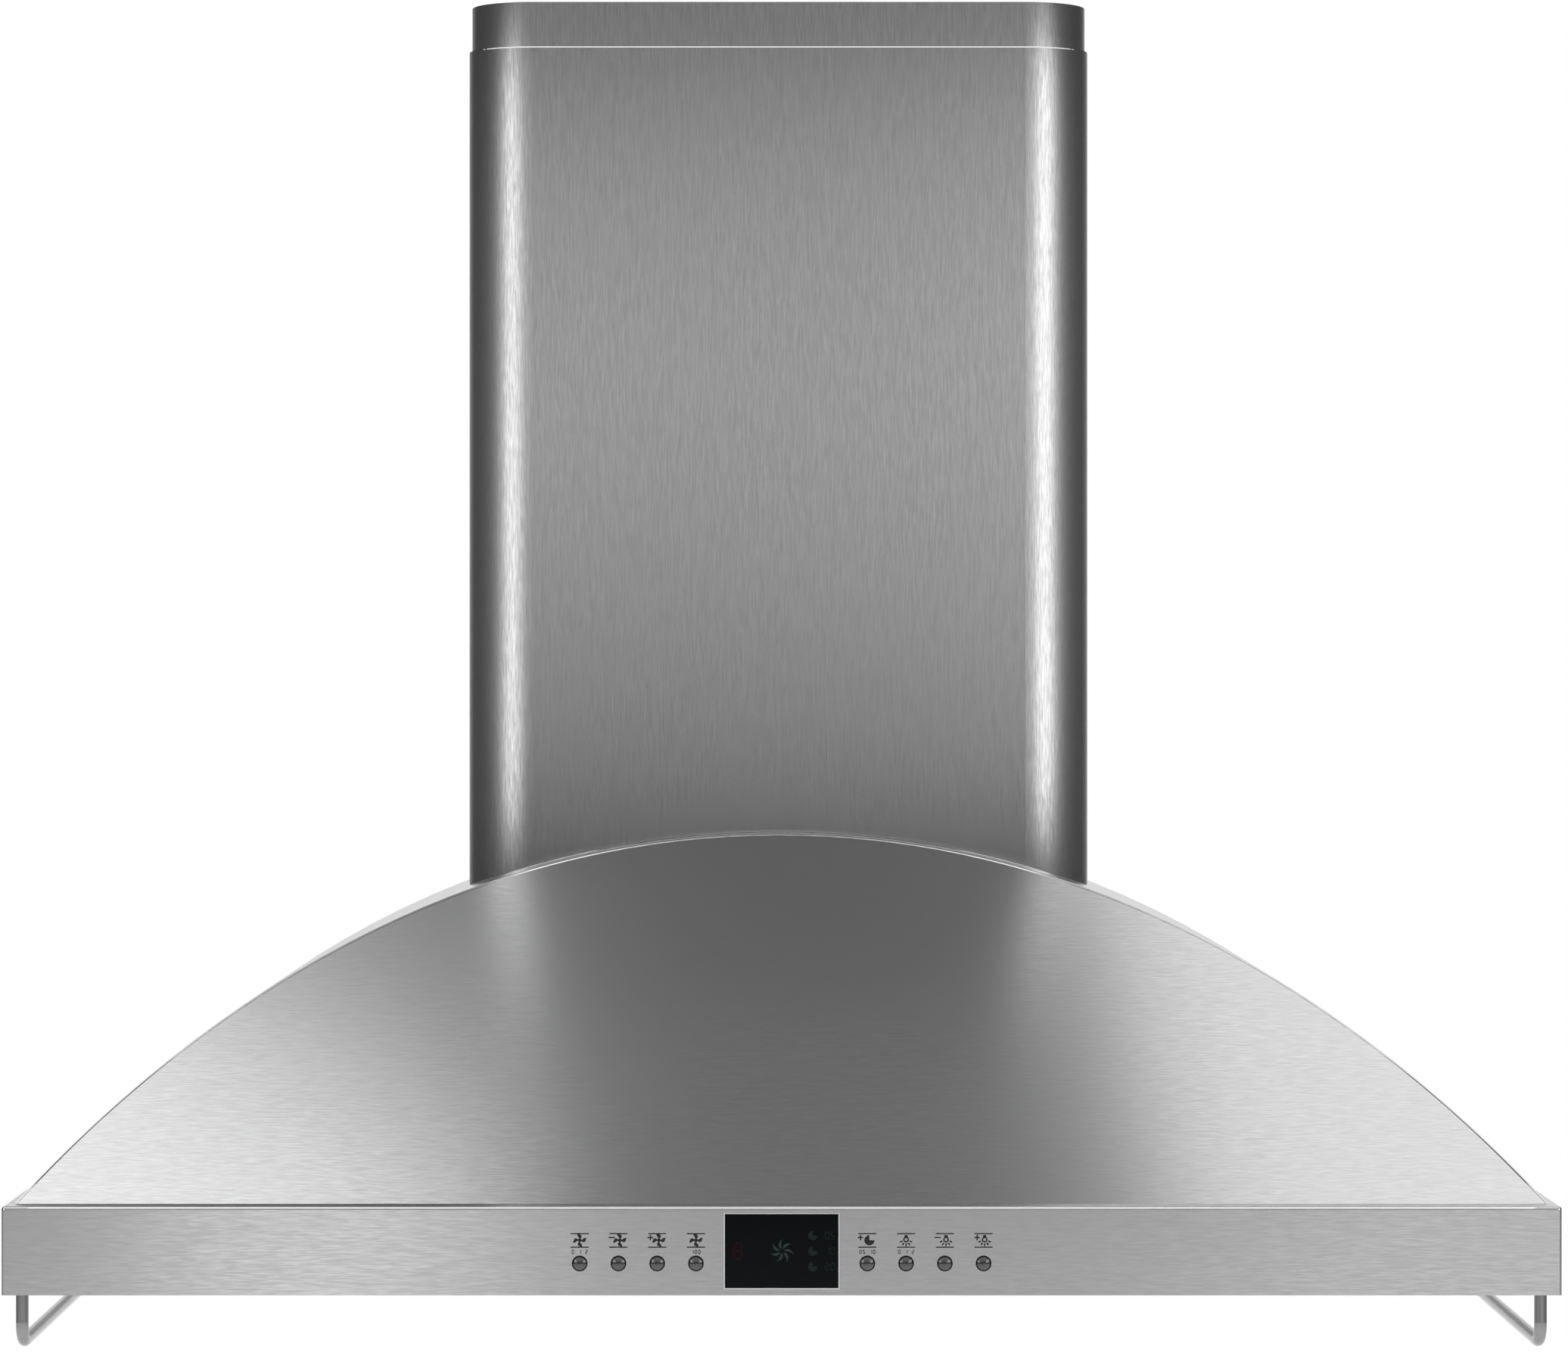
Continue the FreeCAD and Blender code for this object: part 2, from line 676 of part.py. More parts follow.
def side_rail(label, side):
    """A bent rod under one side of the tray, with a stud at each end that passes the lip."""
    body = new_body(label, f"{side} * (half_tray - rail_inset)", "rail_front - hood_depth",
                    "tray_bottom")
    low, far, bend = "-rail_drop", "rail_length", "rail_bend"
    spine = [("line", "0", "0", "0", f"{low} + {bend}"),
             ("arc", "0", f"{low} + {bend}", bend, low),
             ("line", bend, low, f"{far} - {bend}", low),
             ("arc", f"{far} - {bend}", low, far, f"{low} + {bend}"),
             ("line", far, f"{low} + {bend}", far, "0")]
    path = draw(body, "YZ")
    draw_path(path, spine, bend)
    sweep(body, path, "rail_radius", "0", "0")
    pad(body, draw(body, "XY", circles=[("0", "0", "rail_stud_radius"),
                                        ("0", far, "rail_stud_radius")]),
        "2 * sheet + seam_gap + nut_height + rail_stud_tip")


def rail_nuts():
    """The four hexagon nuts that hold the rails' studs down on the liner."""
    nuts = []
    for x, y in stud_places():
        at = (x, y, "liner_level + sheet")
        nut = doc.addObject("Part::Prism", "nut")
        nut.Polygon = 6
        bind(nut, "Circumradius", "nut_width / sqrt(3)")
        bind(nut, "Height", "nut_height")
        hole = rod("nut_hole", "rail_stud_radius + fit_gap", "nut_height", at)
        nuts.append(cut("nut", place(nut, *at), hole))
    keep(group("rail_nuts", nuts), "rail_nuts")


# ---- chimney ----

def chimney_outline(inset):
    """A U-shaped sheet with round front corners and a flange turned in along the wall."""
    side, depth = f"(half_chimney - {inset})", f"(chimney_depth - {inset})"
    corner, wall, lip = f"(chimney_corner - {inset})", f"-({inset})", "chimney_flange"
    return [(f"{lip} - {side}", wall), (f"-{side}", wall),
            (f"-{side}", f"{corner} - {depth}", corner, RIGHT),
            (f"{corner} - {side}", f"-{depth}"), (f"{side} - {corner}", f"-{depth}", corner, RIGHT),
            (side, f"{corner} - {depth}"), (side, wall), (f"{side} - {lip}", wall),
            (f"{side} - {lip}", f"{wall} - sheet"), (f"{side} - sheet", f"{wall} - sheet"),
            (f"{side} - sheet", f"{corner} - {depth}", f"{corner} - sheet", LEFT),
            (f"{side} - {corner}", f"sheet - {depth}"),
            (f"{corner} - {side}", f"sheet - {depth}", f"{corner} - sheet", LEFT),
            (f"sheet - {side}", f"{corner} - {depth}"), (f"sheet - {side}", f"{wall} - sheet"),
            (f"{lip} - {side}", f"{wall} - sheet")]


def lower_chimney():
    """The fixed chimney cover; its foot is cut to the arch it stands on."""
    body = new_body("lower_chimney")
    pad(body, draw(body, "XY", [chimney_outline("0")], offset="tray_top"), "chimney_height")
    over = "(arch_radius + seam_gap)"
    saddle = [("-chimney_width", "tray_top - arch_rise"),
              ("-chimney_width", f"sqrt({over}^2 - chimney_width^2) + arch_axis", over, LEFT),
              ("chimney_width", f"sqrt({over}^2 - chimney_width^2) + arch_axis"),
              ("chimney_width", "tray_top - arch_rise")]
    pocket(body, draw(body, "XZ", [saddle]))
    pocket(body, draw(body, "YZ", circles=[("-foot_depth / 2 - foot_setback", "foot_screw",
                                            "screw_radius")]))


def upper_chimney():
    """The telescoping cover that slides inside the lower one."""
    body = new_body("upper_chimney")
    pad(body, draw(body, "XY", [chimney_outline("upper_inset")], offset="upper_top - upper_length"),
        "upper_length")
    pocket(body, draw(body, "YZ", circles=[("-bracket_screw_depth", "bracket_top - bracket_height / 2",
                                            "screw_radius")]))


def chimney_bracket():
    """The strap on the wall that the upper cover is screwed to, stepped round its rear flanges."""
    body = new_body("chimney_bracket", z="bracket_top - bracket_height")
    gauge = "bracket_thickness"
    ear = "(half_chimney - upper_inset - sheet - seam_gap)"
    step = "(half_chimney - chimney_flange - upper_inset - bracket_step)"
    rear = "(upper_inset + sheet + seam_gap)"
    half = [(f"{step}", "0"), (f"{step}", f"-{rear}"), (ear, f"-{rear}"),
            (ear, f"-{rear} - bracket_ear"), (f"{ear} - {gauge}", f"-{rear} - bracket_ear"),
            (f"{ear} - {gauge}", f"-{rear} - {gauge}"), (f"{step} - {gauge}", f"-{rear} - {gauge}"),
            (f"{step} - {gauge}", f"-{gauge}")]
    outline = half + [(f"-({u})", v) for u, v in reversed(half)]
    pad(body, draw(body, "XY", [outline]), "bracket_height")
    holes = [(f"{side} * bracket_hole_span / 2", "bracket_height / 2", "wall_hole_radius")
             for side in (-1, 1)]
    pocket(body, draw(body, "XZ", circles=holes))
    pocket(body, draw(body, "YZ", circles=[("-bracket_screw_depth", "bracket_height / 2",
                                            "screw_radius")]))


def chimney_foot(label, side):
    """An angle that follows the arch and ties the lower cover's side wall to it."""
    body = new_body(label)
    low, high = "(arch_radius + seam_gap)", "(arch_radius + seam_gap + bracket_thickness)"
    inner, outer = "(half_chimney - foot_length)", "(half_chimney - sheet - seam_gap)"
    wall = f"({outer} - bracket_thickness)"

    def on(radius, x):
        return f"sqrt({radius}^2 - {x}^2) + arch_axis"
    points = [(f"{side} * {inner}", on(low, inner), low, LEFT if side > 0 else RIGHT),
              (f"{side} * {outer}", on(low, outer)),
              (f"{side} * {outer}", "foot_screw + 2 * screw_head"),
              (f"{side} * {wall}", "foot_screw + 2 * screw_head"),
              (f"{side} * {wall}", on(high, wall), high, RIGHT if side > 0 else LEFT),
              (f"{side} * {inner}", on(high, inner))]
    pad(body, draw(body, "XZ", [points], offset="foot_setback"), "foot_depth")
    pocket(body, draw(body, "YZ", circles=[("-foot_depth / 2 - foot_setback", "foot_screw",
                                            "screw_radius")]))


def screw(x, y, z, direction):
    """A pan-head screw: the point lies under the head, and the head stands along the direction."""
    body = doc.addObject("PartDesign::Body", "screw")
    profile = [("0", "screw_head_height"), ("0", "-screw_grip"),
               ("screw_radius - thread_play", "-screw_grip"), ("screw_radius - thread_play", "0"),
               ("screw_head", "0"), ("screw_head", "screw_head_height / 2"),
               ("screw_head - screw_head_height / 2", "screw_head_height")]
    revolve(body, draw(body, "XZ", [profile]), "V_Axis")
    body.Placement.Rotation = Rotation(Vector(0, 0, 1), direction)
    return place(body, x, y, z)


def cover_screws():
    """One screw through each side of the lower cover, into its foot."""
    screws = [screw(f"{side} * half_chimney", "-foot_depth / 2 - foot_setback", "foot_screw",
                    Vector(side, 0, 0)) for side in (-1, 1)]
    keep(group("cover_screws", screws), "cover_screws")


def bracket_screws():
    """One screw from inside each ear of the wall bracket, into the upper cover."""
    inside = "half_chimney - upper_inset - sheet - seam_gap - bracket_thickness"
    screws = [screw(f"{side} * ({inside})", "-bracket_screw_depth",
                    "bracket_top - bracket_height / 2", Vector(-side, 0, 0)) for side in (-1, 1)]
    keep(group("bracket_screws", screws), "bracket_screws")


# ---- controls ----

def display_frame():
    """A thin bright frame round the display glass, set into the band."""
    body = new_body("display_frame", y="-hood_depth", z="display_centre")
    half_x = "(display_width / 2 + display_frame - fit_gap)"
    half_z = "(display_height / 2 + display_frame - fit_gap)"
    outer = rectangle(f"-{half_x}", half_x, f"-{half_z}", half_z)
    inner = rectangle("-display_width / 2", "display_width / 2",
                      "-display_height / 2", "display_height / 2")
    pad(body, draw(body, "XZ", [outer, inner], offset="-glass_thickness"),
        "glass_thickness + display_proud")


def display_window():
    keep(box("display_window", ("fit_gap - display_width / 2", "display_width / 2 - fit_gap"),
             ("-hood_depth - display_proud / 2", "glass_thickness - hood_depth - display_proud / 2"),
             ("display_centre - display_height / 2 + fit_gap",
              "display_centre + display_height / 2 - fit_gap")), "display_window")


def display_module():
    """The display unit behind the glass: its case with a recess round the screen."""
    start = "glass_thickness - display_proud / 2 - hood_depth"
    case = box("display_case", ("-display_width / 2", "display_width / 2"),
               (start, f"{start} + module_depth"),
               ("display_centre - display_height / 2", "display_centre + display_height / 2"))
    recess = box("display_recess",
                 ("screen_border - display_width / 2", "display_width / 2 - screen_border"),
                 (start, f"{start} + screen_recess"),
                 ("display_centre - display_height / 2 + screen_border",
                  "display_centre + display_height / 2 - screen_border"))
    keep(cut("display_module", case, recess), "display_module")


def switch_board():
    """The circuit board behind the band: a press switch facing each button, a display socket."""
    front = "board_front"
    back_of_module = "glass_thickness - display_proud / 2 - hood_depth + module_depth"
    board = [box("board", ("-board_width / 2", "board_width / 2"), (front, f"{front} + board_thickness"),
                 ("board_level", "board_level + board_height")),
             box("socket", ("-display_width / 4", "display_width / 4"), (back_of_module, front),
                 ("display_centre - 2 * switch_size", "display_centre"))]
    for index in range(len(BUTTONS)):
        x = button_x(index)
        board.append(box("switch", (f"{x} - switch_size / 2", f"{x} + switch_size / 2"),
                         (f"{front} - switch_height", front),
                         ("button_level - switch_size / 2", "button_level + switch_size / 2")))
    keep(fuse("switch_board", board), "switch_board")


def control_box():
    """The plastic tray that closes the board in, with ears to the band and bosses for the board."""
    body = new_body("control_box", y="control_box_setback - hood_depth", z="box_floor")
    half, tall, wall = "control_box_width / 2", "control_box_height", "control_box_wall"
    pad(body, draw(body, "XZ", [rectangle(f"-{half}", half, "0", tall)]), "control_box_depth",
        reverse=True)
    pocket(body, draw(body, "XZ", [rectangle(f"{wall} - {half}", f"{half} - {wall}",
                                             wall, f"{tall} - {wall}")]),
           f"control_box_depth - {wall}")
    ears = [rectangle(f"{side} * ({half} - {wall})", f"{side} * {half}", f"{tall} / 4", f"{tall} * 3 / 4")
            for side in (-1, 1)]
    pad(body, draw(body, "XZ", ears), "control_box_setback - sheet")
    bosses = [(f"{side} * (board_width / 2 - boss_inset)", f"{tall} / 2", wall) for side in (-1, 1)]
    back = "control_box_depth - control_box_wall"
    pad(body, draw(body, "XZ", circles=bosses, offset=f"-({back})"),
        f"{back} + control_box_setback - board_setback - board_thickness")


def button_bezels():
    """Eight dark rings that line the button holes, one solid each."""
    rings = []
    for index in range(len(BUTTONS)):
        body = doc.addObject("PartDesign::Body", "bezel")
        profile = [("bezel_bore", "-bezel_proud"), ("bezel_radius - bezel_chamfer", "-bezel_proud"),
                   ("bezel_radius", "bezel_chamfer - bezel_proud"), ("bezel_radius", "0"),
                   ("bezel_neck", "0"), ("bezel_neck", "bezel_depth"), ("bezel_bore", "bezel_depth")]
        revolve(body, draw(body, "XY", [profile]), "V_Axis")
        rings.append(place(body, button_x(index), "-hood_depth", "button_level"))
    keep(group("button_bezels", rings), "button_bezels")


def button(label, index):
    """A domed push button with a retaining flange and a stem that reaches its switch."""
    body = new_body(label, button_x(index), "-hood_depth", "button_level")
    crown = "(button_radius^2 + button_crown^2) / (2 * button_crown)"
    seat = "bezel_depth + button_play"
    profile = [("0", "-button_proud", crown, RIGHT), ("button_radius", "button_crown - button_proud"),
               ("button_radius", seat), ("button_flange", seat),
               ("button_flange", f"{seat} + button_flange_thickness"),
               ("button_radius / 2", f"{seat} + button_flange_thickness"),
               ("button_radius / 2", "button_stem"), ("0", "button_stem")]
    revolve(body, draw(body, "XY", [profile]), "V_Axis")


# ---- lamps ----

def lamp(side, word):
    """A recessed lamp: spun housing, trim ring and lens, and its capsule bulb, which is returned."""
    at = (f"{side} * lamp_spacing / 2", "lamp_setback - hood_depth", "liner_level")
    housing = new_body(f"lamp_housing_{word}", *at)
    cup = [("lamp_radius - lamp_wall", "sheet"), ("lamp_ring", "sheet"), ("lamp_ring", "2 * sheet"),
           ("lamp_radius", "2 * sheet"), ("lamp_crown", "lamp_depth"), ("0", "lamp_depth"),
           ("0", "lamp_depth - lamp_wall"), ("lamp_crown - lamp_wall", "lamp_depth - lamp_wall"),
           ("lamp_radius - lamp_wall", "2 * sheet")]
    revolve(housing, draw(housing, "XZ", [cup]), "V_Axis")
    ring = new_body(f"lamp_ring_{word}", *at)
    under = "(lamp_wall - ring_drop)"
    trim = [("lamp_radius - ring_lip", "-ring_drop"), ("lamp_ring - lamp_wall", "-ring_drop"),
            ("lamp_ring", under), ("lamp_ring", "0"), ("lamp_radius", "0"), ("lamp_radius", "sheet"),
            ("lamp_radius - lens_seat", "sheet"), ("lamp_radius - lens_seat", under),
            ("lamp_radius - ring_lip", under)]
    revolve(ring, draw(ring, "XZ", [trim]), "V_Axis")
    lens = new_body(f"lamp_lens_{word}", *at)
    edge = "lamp_radius - lens_seat - lens_play"
    glass = [("0", under), (edge, under), (edge, f"{under} + lens_thickness"),
             ("0", f"{under} + lens_thickness")]
    revolve(lens, draw(lens, "XZ", [glass]), "V_Axis")
    bulb = place(doc.addObject("PartDesign::Body", "bulb"), *at)
    socket = "lamp_depth - lamp_wall"
    capsule = [("0", f"{socket} - bulb_length"),
               ("bulb_radius - bulb_round", f"{socket} - bulb_length", "bulb_round", RIGHT),
               ("bulb_radius", f"{socket} - bulb_length + bulb_round"), ("bulb_radius", socket),
               ("0", socket)]
    revolve(bulb, draw(bulb, "XZ", [capsule]), "V_Axis")
    return bulb


# ---- blower: every sketch is drawn about the impeller's centre ----

def blower_body(label):
    return new_body(label, y="-blower_depth", z="blower_z")


def volute(wall, outlet):
    """The scroll in side view, as three growing arcs from the tongue round to the straight front."""
    shift = "(volute_growth / 2)"
    first = f"(volute_radius + {wall})"
    second = f"(volute_radius + volute_growth + {wall})"
    third = f"(volute_radius + 2 * volute_growth + {wall})"
    tongue = f"{shift} + {first} * sqrt(0.5)"
    return [(tongue, outlet), (tongue, f"{first} * sqrt(0.5) - {shift}", first, LEFT),
            (f"{shift} + {first}", f"-{shift}", second, LEFT),
            (f"-{shift}", f"-{shift} - {second}", third, LEFT),
            (f"-{shift} - {third}", shift), (f"-{shift} - {third}", outlet)]


def blower_housing():
    """The scroll's rolled wall, open at its outlet."""
    body = blower_body("blower_housing")
    pad(body, draw(body, "YZ", [volute("sheet", "outlet_height")]), "blower_width", side="Symmetric")
    pocket(body, draw(body, "YZ", [volute("0", "outlet_height + sheet")]))


def inlet_plate(label, side):
    """A side plate of the scroll, with a spun inlet mouth."""
    body = blower_body(label)
    offset = "blower_width / 2" if side > 0 else "-blower_width / 2 - sheet"
    pad(body, draw(body, "YZ", [volute("sheet", "outlet_height")],
                   [("0", "0", "inlet_radius + 2 * sheet")], offset=offset), "sheet")
    face = f"{side} * blower_width / 2"
    out = f"{side} * sheet"
    mouth = [(f"{face} + {out}", "inlet_radius + 3 * sheet"), (face, "inlet_radius + 3 * sheet"),
             (f"{face} - {out}", "inlet_radius + sheet"),
             (f"{face} - {side} * inlet_lip", "inlet_radius + sheet"),
             (f"{face} - {side} * inlet_lip", "inlet_radius"), (f"{face} - {out}", "inlet_radius"),
             (f"{face} + {out}", "inlet_radius + 2 * sheet")]
    revolve(body, draw(body, "XY", [mouth]), "H_Axis")


def impeller_disc():
    """The wheel's centre disc with its hub; a cage is fixed to each side of it."""
    body = blower_body("impeller_disc")
    face, bore = "rim_thickness / 2", "shaft_radius + press_gap"
    wheel = [("-hub_left", bore), ("-hub_left", "hub_radius"), (f"-{face}", "hub_radius"),
             (f"-{face}", "impeller_radius"), (face, "impeller_radius"), (face, "hub_radius"),
             ("hub_right", "hub_radius"), ("hub_right", bore)]
    revolve(body, draw(body, "XY", [wheel]), "H_Axis")


def impeller_cage(side):
    """Half of the squirrel cage: forward-curved blades that run from the disc to an end rim."""
    body = place(doc.addObject("PartDesign::Body", "cage"), y="-blower_depth", z="blower_z")
    reach, rim = "impeller_width / 2", "rim_thickness"
    start = f"{reach} - {rim}" if side > 0 else f"-{reach}"
    pad(body, draw(body, "YZ", circles=[("0", "0", "impeller_radius"), ("0", "0", "blade_root")],
                   offset=start), rim)
    root, tip = "(blade_root + blade_inset)", "(impeller_radius - blade_inset)"
    across, rise = f"{tip} * cos(blade_lean)", f"{tip} * sin(blade_lean)"
    blade = [(root, "0", "blade_curve", LEFT), (across, rise),
             (f"{across} - blade_thickness", rise, "blade_curve - blade_thickness", RIGHT),
             (root, "blade_thickness")]
    first = pad(body, draw(body, "YZ", [blade], offset=f"{side} * {rim} / 2"),
                f"{reach} - {rim} / 2", reverse=side < 0)
    polar(body, first, "X", "blade_count")
    return body


def motor_shaft():
    inner, outer = "(hub_left + shaft_tip)", "(blower_width / 2 + 2 * shaft_tip)"
    keep(rod("motor_shaft", "shaft_radius", f"{inner} + {outer}",
             (f"-{inner}", "-blower_depth", "blower_z"), Vector(1, 0, 0)), "motor_shaft")


def motor():
    """The motor inside the wheel: a drum with a tapered nose and a stepped end shield."""
    body = blower_body("motor")
    bore, end = "shaft_radius + shaft_clearance", "blower_width / 2 + sheet"
    profile = [("motor_start", bore), ("motor_start", "hub_radius"),
               ("motor_start + motor_taper", "hub_radius"),
               ("motor_start + 2 * motor_taper", "motor_radius - motor_taper"),
               ("motor_start + 3 * motor_taper", "motor_radius"),
               (f"{end} - motor_cap", "motor_radius"),
               (f"{end} - motor_cap", "motor_radius - motor_step"),
               (f"{end} - 2 * motor_step", "motor_radius - motor_step"),
               (end, "motor_radius - 3 * motor_step"), (end, bore)]
    revolve(body, draw(body, "XY", [profile]), "H_Axis")


def motor_bracket():
    """A ring with three arms that carries the motor on the right-hand inlet plate."""
    body = blower_body("motor_bracket")
    face = "blower_width / 2 + sheet"
    pad(body, draw(body, "YZ", circles=[("0", "0", "motor_radius - motor_taper"),
                                        ("0", "0", "hub_radius + 2 * sheet")],
                   offset=face), "2 * sheet")
    arm = pad(body, draw(body, "YZ", [rectangle("-arm_reach", "arm_width / 2 - motor_radius",
                                                "-arm_width / 2", "arm_width / 2")],
                         offset=face), "2 * sheet")
    polar(body, arm, "X", "3")


def blower_bracket(label, side):
    """An angle that ties a side plate of the scroll to the back panel."""
    body = blower_body(label)
    near = f"{side} * (blower_width / 2 + sheet)"
    inner = f"{side} * (blower_width / 2 + sheet + bracket_thickness)"
    far = f"{side} * (blower_width / 2 + sheet + blower_foot)"
    wall = "blower_depth - back_thickness"
    angle = [(near, wall), (far, wall), (far, f"{wall} - bracket_thickness"),
             (inner, f"{wall} - bracket_thickness"), (inner, "blower_foot_start"),
             (near, "blower_foot_start")]
    drop = "volute_radius - blower_foot_height / 4"
    pad(body, draw(body, "XY", [angle], offset=f"-({drop})"), "blower_foot_height")


def outlet_transition():
    """Square to round: lofted from the scroll's rectangular outlet to the duct collar."""
    body = blower_body("outlet_transition")
    for kind, wall in (("AdditiveLoft", "sheet"), ("SubtractiveLoft", "0")):
        over = "0" if wall == "sheet" else "cut_over"
        base = draw(body, "XY", [rectangle(f"-blower_width / 2 - {wall}", f"blower_width / 2 + {wall}",
                                           f"neck_front - {wall}", f"neck_rear + {wall}")],
                    offset=f"outlet_height - {over}")
        top = draw(body, "XY", circles=[("0", "neck_centre", f"duct_radius - sheet + {wall} + seam_gap")],
                   offset=f"collar_level + {over}")
        loft = body.newObject(f"PartDesign::{kind}", kind)
        loft.Profile = base
        loft.Sections = [top]
        loft.Ruled = True


def collar_body(label, z="0"):
    return new_body(label, y="neck_centre - blower_depth", z=f"blower_z + collar_level + {z}")


def duct_collar():
    """The round collar that the duct slides over, with a foot ring and a stop for the damper."""
    body = collar_body("duct_collar")
    stop = "(damper_height - flap_sheet / 2 - flap_play)"
    profile = [("duct_radius - sheet", "0"), ("duct_radius + collar_foot", "0"),
               ("duct_radius + collar_foot", "collar_foot"), ("duct_radius", "collar_foot"),
               ("duct_radius", "collar_height"), ("duct_radius - sheet", "collar_height"),
               ("duct_radius - sheet", stop), ("flap_stop", stop), ("flap_stop", f"{stop} - sheet"),
               ("duct_radius - sheet", f"{stop} - sheet")]
    revolve(body, draw(body, "XZ", [profile]), "V_Axis")
    pins = [(f"{side} * damper_gap / 2", "damper_height", "damper_pin_radius + fit_gap")
            for side in (-1, 1)]
    pocket(body, draw(body, "YZ", circles=pins))


def damper_pins():
    """The two pins across the collar that the flaps turn on."""
    pins = []
    length = "2 * (duct_radius - sheet / 4)"
    for side in (-1, 1):
        pins.append(rod("damper_pin", "damper_pin_radius", length,
                        (f"-({length}) / 2", f"neck_centre - blower_depth + {side} * damper_gap / 2",
                         "blower_z + collar_level + damper_height"), Vector(1, 0, 0)))
    keep(group("damper_pins", pins), "damper_pins")


def damper_flap(label, side):
    """A half-round flap with a rolled edge that turns on its own pin."""
    body = collar_body(label, "damper_height")
    reach = "sqrt(flap_radius^2 - (damper_gap / 2)^2)"
    chord = f"{side} * damper_gap / 2"
    bulge = RIGHT if side < 0 else LEFT
    plate = [(f"-{reach}", chord, "flap_radius", bulge),
             ("0", f"{side} * flap_radius", "flap_radius", bulge), (reach, chord)]
    pad(body, draw(body, "XY", [plate], offset="-flap_sheet / 2"), "flap_sheet")
    pad(body, draw(body, "YZ", circles=[(chord, "0", "damper_knuckle")]), "knuckle_length",
        side="Symmetric")
    pocket(body, draw(body, "YZ", circles=[(chord, "0", "damper_pin_radius + shaft_clearance")]))


# ---- wiring ----

def wiring_box():
    """The junction box on the back panel, its lid, the board and capacitor in it, and its gland."""
    x = ("-box_offset - box_width / 2", "box_width / 2 - box_offset")
    rear, front = "-back_thickness", "-back_thickness - box_depth"
    z = ("box_level", "box_level + box_height")
    shell = box("box_shell", x, (front, rear), z)
    hollow = box("box_hollow", (f"{x[0]} + box_wall", f"{x[1]} - box_wall"),
                 (front, f"{rear} - box_wall"), (f"{z[0]} + box_wall", f"{z[1]} - box_wall"))
    gland_x, gland_y = "gland_offset - box_offset", "-back_thickness - box_depth / 2"
    hole = rod("gland_hole", "gland_neck + thread_play", "2 * box_wall",
               (gland_x, gland_y, f"{z[1]} - box_wall"))
    keep(cut("junction_box", cut("box_open", shell, hollow), hole), "junction_box")
    keep(box("junction_box_lid", x, (f"{front} - lid_thickness", front), z), "junction_box_lid")
    board_x = (f"{x[0]} + board_margin", "board_margin - box_offset")
    board_z = (f"{z[0]} + board_margin", f"{z[1]} - board_margin")
    back = f"{rear} - board_lift"
    board = [box("circuit", board_x, (back, f"{back} + board_thickness"), board_z)]
    for corner_x in (f"{board_x[0]} + standoff_inset", f"{board_x[1]} - standoff_inset"):
        for corner_z in (f"{board_z[0]} + standoff_inset", f"{board_z[1]} - standoff_inset"):
            board.append(rod("standoff", "screw_radius", "board_lift - box_wall",
                             (corner_x, f"{rear} - box_wall", corner_z), Vector(0, -1, 0)))
    keep(fuse("power_board", board), "power_board")
    keep(rod("run_capacitor", "capacitor_radius", "capacitor_height",
             (f"{x[1]} - capacitor_offset", gland_y, f"{z[0]} + box_wall")), "run_capacitor")
    gland = new_body("cable_gland", gland_x, gland_y, z[1])
    profile = [("gland_bore", "-2 * box_wall"), ("gland_neck", "-2 * box_wall"), ("gland_neck", "0"),
               ("gland_radius", "0"), ("gland_radius", "gland_flange"),
               ("gland_radius - gland_step", "gland_flange + gland_step / 2"),
               ("gland_radius - gland_step", "gland_height - gland_step"),
               ("gland_neck", "gland_height"), ("gland_bore", "gland_height")]
    revolve(gland, draw(gland, "XZ", [profile]), "V_Axis")


def build():
    fill_sheet()
    base_tray()
    front_panel()
    arch_skin()
    back_panel()
    filter_frame()
    for side, word in ((-1, "left"), (1, "right")):
        grease_filter(f"grease_filter_{word}", side)
        filter_handle(f"filter_handle_{word}", side)
        side_rail(f"side_rail_{word}", side)
        chimney_foot(f"chimney_foot_{word}", side)
        inlet_plate(f"inlet_plate_{word}", side)
        blower_bracket(f"blower_bracket_{word}", side)
    keep(group("lamp_bulbs", [lamp(-1, "left"), lamp(1, "right")]), "lamp_bulbs")
    rail_nuts()
    lower_chimney()
    upper_chimney()
    chimney_bracket()
    cover_screws()
    bracket_screws()
    display_frame()
    display_window()
    display_module()
    switch_board()
    control_box()
    button_bezels()
    for index, label in enumerate(BUTTONS):
        button(label, index)
    blower_housing()
    impeller_disc()
    keep(group("impeller_cages", [impeller_cage(-1), impeller_cage(1)]), "impeller_cages")
    motor_shaft()
    motor()
    motor_bracket()
    outlet_transition()
    duct_collar()
    damper_pins()
    damper_flap("damper_flap_front", -1)
    damper_flap("damper_flap_rear", 1)
    wiring_box()
    doc.recompute()


def check_and_write():
    failed = [item.Label for item in doc.Objects if {"Invalid", "Error"} & set(item.State)]
    failed += [item.Label for item in subparts if item.Shape.isNull() or not item.Shape.isValid()]
    if failed:
        raise RuntimeError(f"these did not build: {failed}")
    os.makedirs("parts", exist_ok=True)
    for item in subparts:
        item.Shape.exportStep(f"parts/{item.Label}.step")
        print(f"{item.Label}: {len(item.Shape.Solids)} solid(s), {item.Shape.Volume / 1000:.1f} cm3")


build()
check_and_write()
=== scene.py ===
# %% [markdown]
# # A wall hood in brushed steel
# The hood's solids come from the CAD frame: every sheet, button, filter and blower part is already
# in its place, in metres. This lesson dresses them. It adds what is printed or shown on the
# controls, gives each solid a finish made of nodes, and lights it as in a plain studio.

import json

import bmesh
import bpy
import numpy as np
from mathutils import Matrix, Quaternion, Vector


